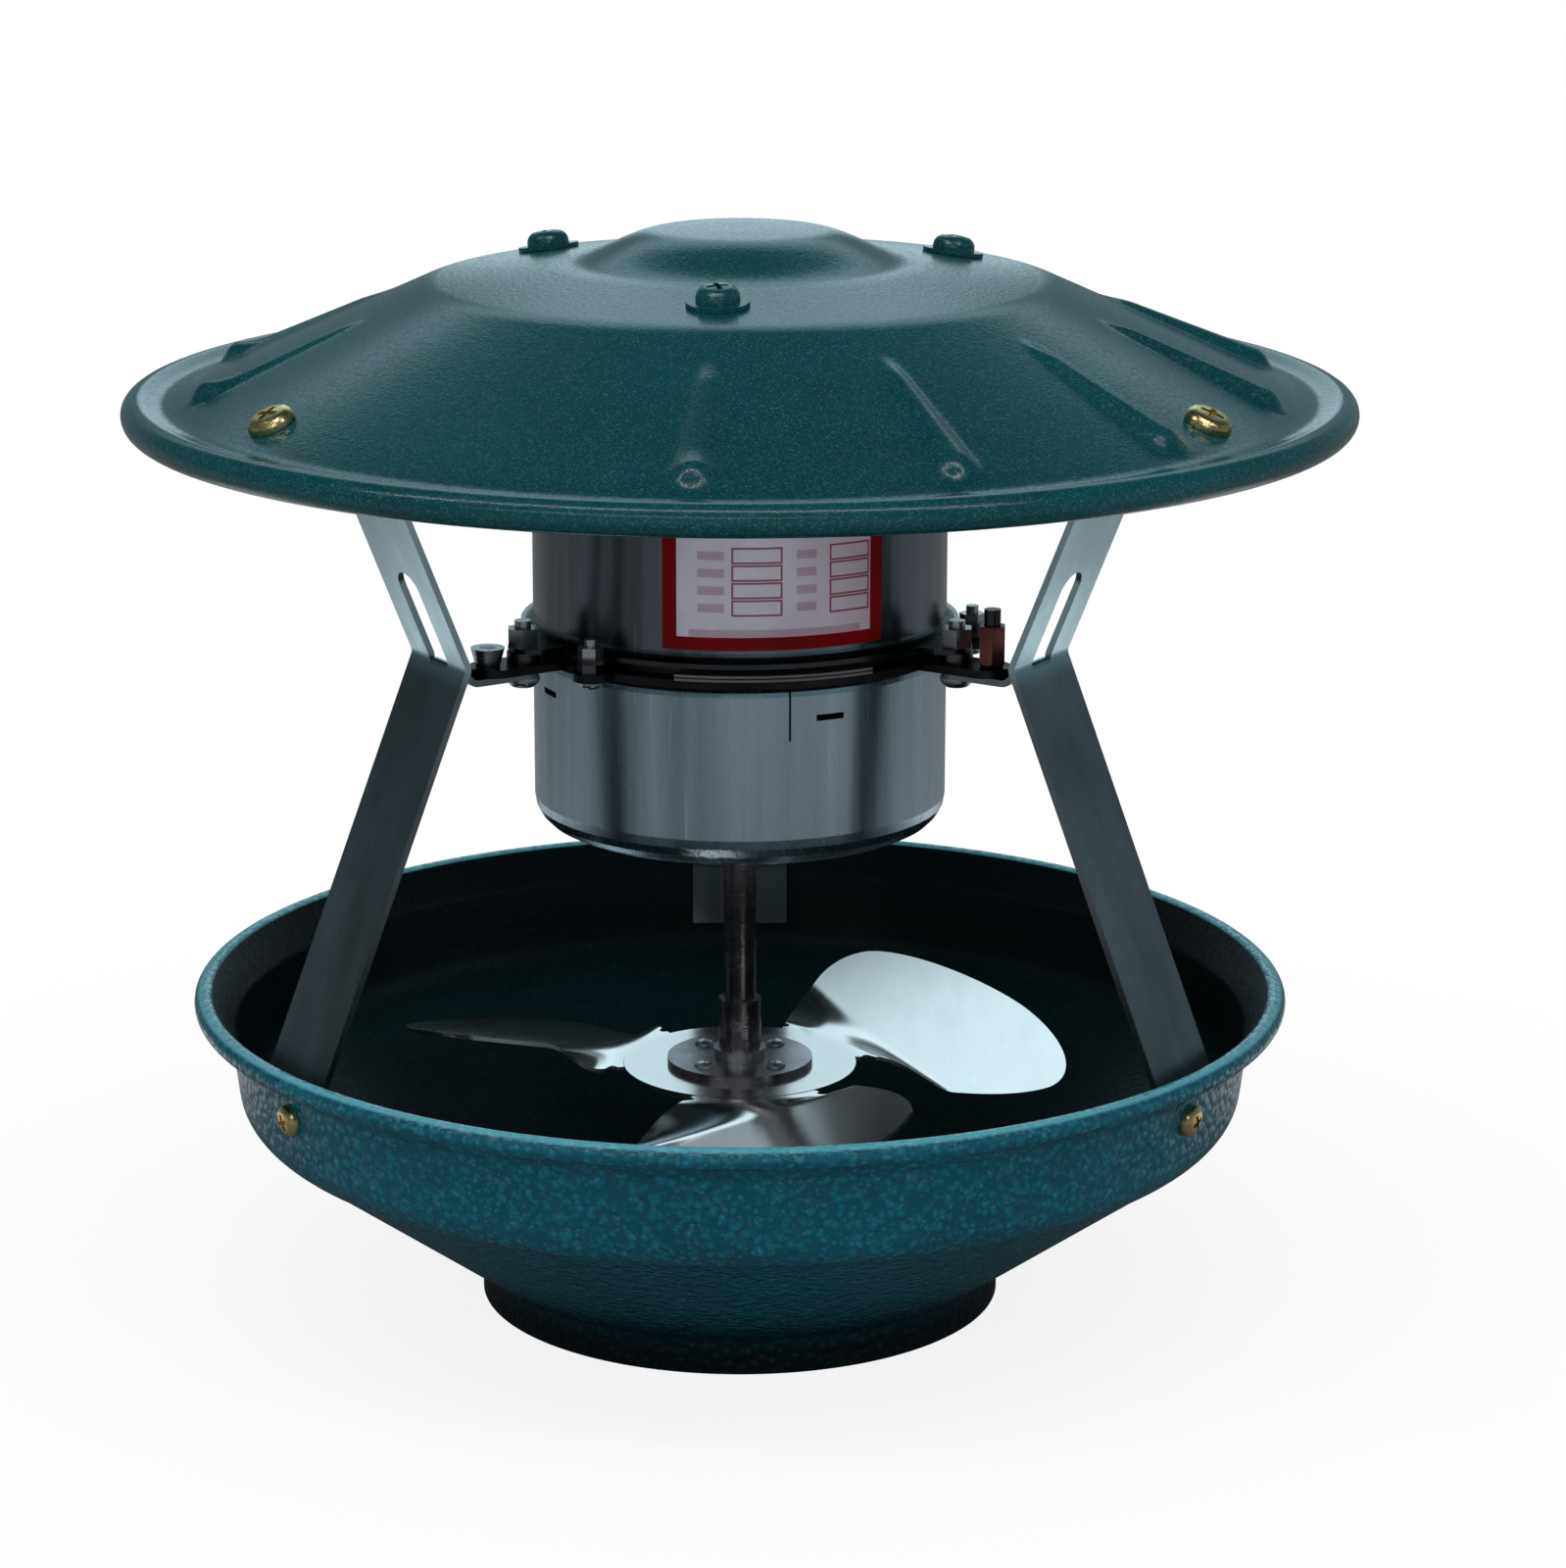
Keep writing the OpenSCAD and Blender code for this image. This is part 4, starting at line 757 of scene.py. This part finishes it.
def blade_faces(turn):
    """A blade over stations r and places v across. Half its width is root / 2 + (chord -
    root) / 2 sin(90 (r - from) / (wide - from)) up to its widest place, and then follows
    a superellipse to the tip. The sheet is hollow as v squared, pitched by the angle that
    the neck lets in with a smooth step, and turned about the axis."""
    body = np.r_[blade_from, np.linspace(blade_from, neck_to, stations),
                 np.linspace(body_from, wide_at, stations)]
    half = root_w / 2 + (chord - root_w) / 2 * np.sin(
        np.pi / 2 * (body - blade_from) / (wide_at - blade_from))
    bite = np.sqrt(np.maximum(notch_r ** 2 - (body - notch_at) ** 2, 0.0))
    half = np.where(bite > 0, np.minimum(half, notch_out - bite), half)
    sweep = np.radians(np.linspace(tip_from, 90.0, stations))
    r = np.r_[body, wide_at + (tip_r - wide_at) * np.sin(sweep) ** (2 / tip_power)][:, None]
    half = np.r_[half, chord / 2 * np.maximum(np.cos(sweep), 0.0) ** (2 / tip_power)][:, None]
    thick = np.r_[0.0, np.ones(len(r) - 1)][:, None] * blade_t / 2
    let_in = np.clip((r - disc_r) / twist_over, 0.0, 1.0)
    let_in = let_in ** 2 * (3 - 2 * let_in)
    pitch = np.radians(let_in * (tip_pitch + root_twist * (tip_r - r) / (tip_r - blade_from)))
    across = np.linspace(-1.0, 1.0, places)
    loop = np.r_[across, across[::-1], across[:1]][None, :]
    side = np.r_[np.ones(places), -np.ones(places), 1.0][None, :]
    w = half * loop
    y = w - blade_shift * let_in
    up = let_in * camber * ((w / (chord / 2)) ** 2 - camber_level) + side * thick
    z = disc_z + y * np.sin(pitch) + up * np.cos(pitch)
    y = y * np.cos(pitch) - up * np.sin(pitch)
    a = math.radians(turn - 90)
    return np.stack([r * math.cos(a) - y * math.sin(a), r * math.sin(a) + y * math.cos(a), z],
                    2) * mm


disc_side = np.array([(disc_bore, disc_t / 2 - bore_break), (disc_bore + bore_break, disc_t / 2),
                      (disc_middle, disc_t / 2), (disc_r - edge_break, disc_t / 2),
                      (disc_r, disc_t / 2 - edge_break)])
disc_ring = np.concatenate([disc_side * (1, -1), disc_side[::-1], disc_side[:1] * (1, -1)])
blade_bright = worked_metal("blade_bright", (0.99, 0.93, 0.9), (0.86, 0.82, 0.8), 0.13, 180.0,
                            (1.0, 0.15, 1.0), streaks=0.25, bump=0.015, spread=0.06)
impeller = sheet_piece(
    "impeller_sheet",
    [turned(disc_ring[:, :1], disc_ring[:, 1:] + disc_z, np.linspace(0, 360, disc_columns))]
    + [blade_faces(first_blade + i * 360 / blade_count) for i in range(blade_count)],
    blade_bright)
# The disc is darker near the hub: painted shade under the motor.
disc_shade_edge, disc_shade_share, disc_shade_tint = (0.026, 0.04), 0.6, (0.42, 0.4, 0.4)
blade_tree = blade_bright.node_tree
blade_skin = next(n for n in blade_tree.nodes if n.type == "BSDF_PRINCIPLED")
blade_clean = blade_skin.inputs["Base Color"].links[0].from_socket
blade_x, blade_y, _ = split(blade_tree, object_place(blade_tree))
blade_disc_shade = slope(blade_tree, from_axis(blade_tree, blade_x, blade_y), *disc_shade_edge,
                   disc_shade_share, 0.0)
blade_tree.links.new(mix_colour(blade_tree, blade_disc_shade, blade_clean, disc_shade_tint),
                     blade_skin.inputs["Base Color"])
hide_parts("impeller")
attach(impeller, "rotor")

# Rain cap. One pressed steel sheet: a crown, a dome, a shelf, a cone with pressed
# ribs and a rolled rim. Its hammer finish is greener and finer than the dish's, and
# the screws and washers in its shelf were painted with it.
cap_r, cap_t, cap_rim_z, cap_roll_r, cap_slope = 150.0, 1.2, 227.3, 3.9, 24.3
shelf_r, dome_r, crown_r, dome_h, shelf_drop = 76.0, 44.0, 18.0, 7.6, 4.6
crown_rise, shelf_bend_r, roll_last = 0.4, 20.0, -150
valley_r, valley_in, valley_up, valley_last = 9.0, 6.3, 10.7, 292
roll_mid, roll_at = cap_roll_r - cap_t / 2, cap_r - cap_roll_r
valley_at = np.array([roll_at - valley_in, cap_rim_z + valley_up])
slope_turn = math.radians(270 - cap_slope)
cone_end = valley_at + valley_r * np.array([math.cos(slope_turn), math.sin(slope_turn)])
cone_rise = math.tan(math.radians(cap_slope))
shelf_edge = np.array([shelf_r, cone_end[1] + (cone_end[0] - shelf_r) * cone_rise])
shelf_in = np.array([dome_r, shelf_edge[1] + shelf_drop])
shelf_bend = rounded(shelf_in, shelf_edge, cone_end, shelf_bend_r, 10)
crown_z = shelf_in[1] + dome_h + crown_rise
dome_share = np.linspace(0.0, 1.0, 22)
dome_flank = np.stack([crown_r + (dome_r - crown_r) * dome_share,
                       shelf_in[1] + dome_h * (1 + np.cos(np.pi * dome_share)) / 2], 1)
cap_path = joined(
    straight((0.0, crown_z), (crown_r / 2, crown_z), 4), dome_flank,
    straight(shelf_in, shelf_bend[0], 9)[1:], shelf_bend,
    straight(shelf_bend[-1], cone_end, 40),
    arc(valley_at, valley_r, 270 - cap_slope, valley_last, 9),
    arc((roll_at, cap_rim_z), roll_mid, valley_last - 180, roll_last, 22))


def apart(angles, others):
    """The turn from others to angles in degrees, brought within half a turn."""
    return (angles - others + 540) % 360 - 180


# The ribs stand at an even pitch, but for those that a strap's screw leaves no room.
first_rib, last_rib, rib_pitch, strap_room = -4.5, 285.0, 26.0, 7.0
strap_angles = np.array([-57.0, 57.0, 180.0])
rib_angles = np.arange(first_rib, last_rib, rib_pitch)
rib_clear = np.abs(apart(rib_angles[:, None], strap_angles)).min(1)
rib_angles = rib_angles[rib_clear > strap_room]
front_body, left_body = 0.75, 0.5
rib_bodies = [front_body] + [1.0] * (len(rib_angles) - 3) + [left_body, left_body]
rib_len, rib_nose_r, rib_tail_r, rib_sink, rib_nose_at = 43.0, 5.5, 1.6, 1.5, 128.5
rib_blend, rib_settle, rib_bold = 0.8, 0.02, 9.0
rib_run, rib_fade, rib_reach, rib_ease = 3.0, 12.0, 2.6, 5.0
rim_row = int(np.argmax(cap_path[:, 0] > cone_end[0] + 2.0))


def rib_lift(path, angles):
    """How far the ribs stand out of the sheet. Round the line from nose to tail, the lift
    is crest (1 - (distance / half width) squared), where crest and width shrink to the
    tail, eased into the field as (c + sqrt(c c + blend blend)) / 2. The front rib and the
    two on the left are shallower than the rest, but for their noses."""
    lift = np.zeros((len(path), len(angles)))
    for rib_angle, body in zip(rib_angles, rib_bodies):
        away = np.radians(apart(angles, rib_angle))[None, :]
        along = (rib_nose_at - path[:, :1] * np.cos(away)) / math.cos(math.radians(cap_slope))
        beside = path[:, :1] * np.sin(away)
        held = np.clip(along, 0.0, rib_len)
        share = held / rib_len
        radius = rib_nose_r + (rib_tail_r - rib_nose_r) * share
        sunk = rib_sink * (1 - share)
        width = np.sqrt(radius ** 2 - sunk ** 2)
        bold = body + (1 - body) * np.clip(1 - held / rib_bold, 0.0, 1.0) ** 2
        crest = (radius - sunk - cap_t / 2) * bold
        c = crest * (1 - (beside ** 2 + (along - held) ** 2) / width ** 2)
        eased = (c + np.sqrt(c * c + rib_blend ** 2)) / 2 - rib_blend * rib_settle
        end = np.clip((rib_len + rib_run - along) / rib_fade, 0.0, 1.0)
        near = (np.clip(rib_reach - np.abs(beside) / width, 0.0, 1.0)
                * np.clip((along + rib_reach * rib_nose_r) / rib_ease, 0.0, 1.0))
        on_top = (np.cos(away) > 0) & (np.arange(len(path)) < rim_row)[:, None]
        raised = np.maximum(eased, 0.0) * end ** 2 * (3 - 2 * end) * near
        lift = np.maximum(lift, np.where(on_top, raised, 0.0))
    return lift


# Columns of the mesh lie close together on the ribs, and farther apart between them.
plain_step, rib_span, rib_margin, rib_columns = 2.0, 7.0, 7.4, 25
between = np.arange(0.0, 360.0, plain_step)
near_rib = np.abs(apart(between[:, None], rib_angles)).min(1) < rib_margin
on_ribs = rib_angles[:, None] + np.linspace(-rib_span, rib_span, rib_columns)
cap_angles = np.sort(np.r_[between[~near_rib], on_ribs.ravel() % 360])
cap_angles = np.r_[cap_angles, cap_angles[0] + 360]
cap_paint = hammered_paint(
    "cap_paint", deep=(0.0006, 0.038, 0.044), light=(0.002, 0.072, 0.08), cells=(900.0, 0.4),
    flecks=(3200.0, 0.22), bump=0.08, gloss=0.15)
cap = sheet_piece(
    "cap_sheet", [turned_sheet(cap_path, cap_t, cap_angles, rib_lift(cap_path, cap_angles))],
    cap_paint, sharp=60.0)
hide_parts("rain_cap")
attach(cap, "housing")
dress(cap_paint, "shelf_screws", "shelf_washers")
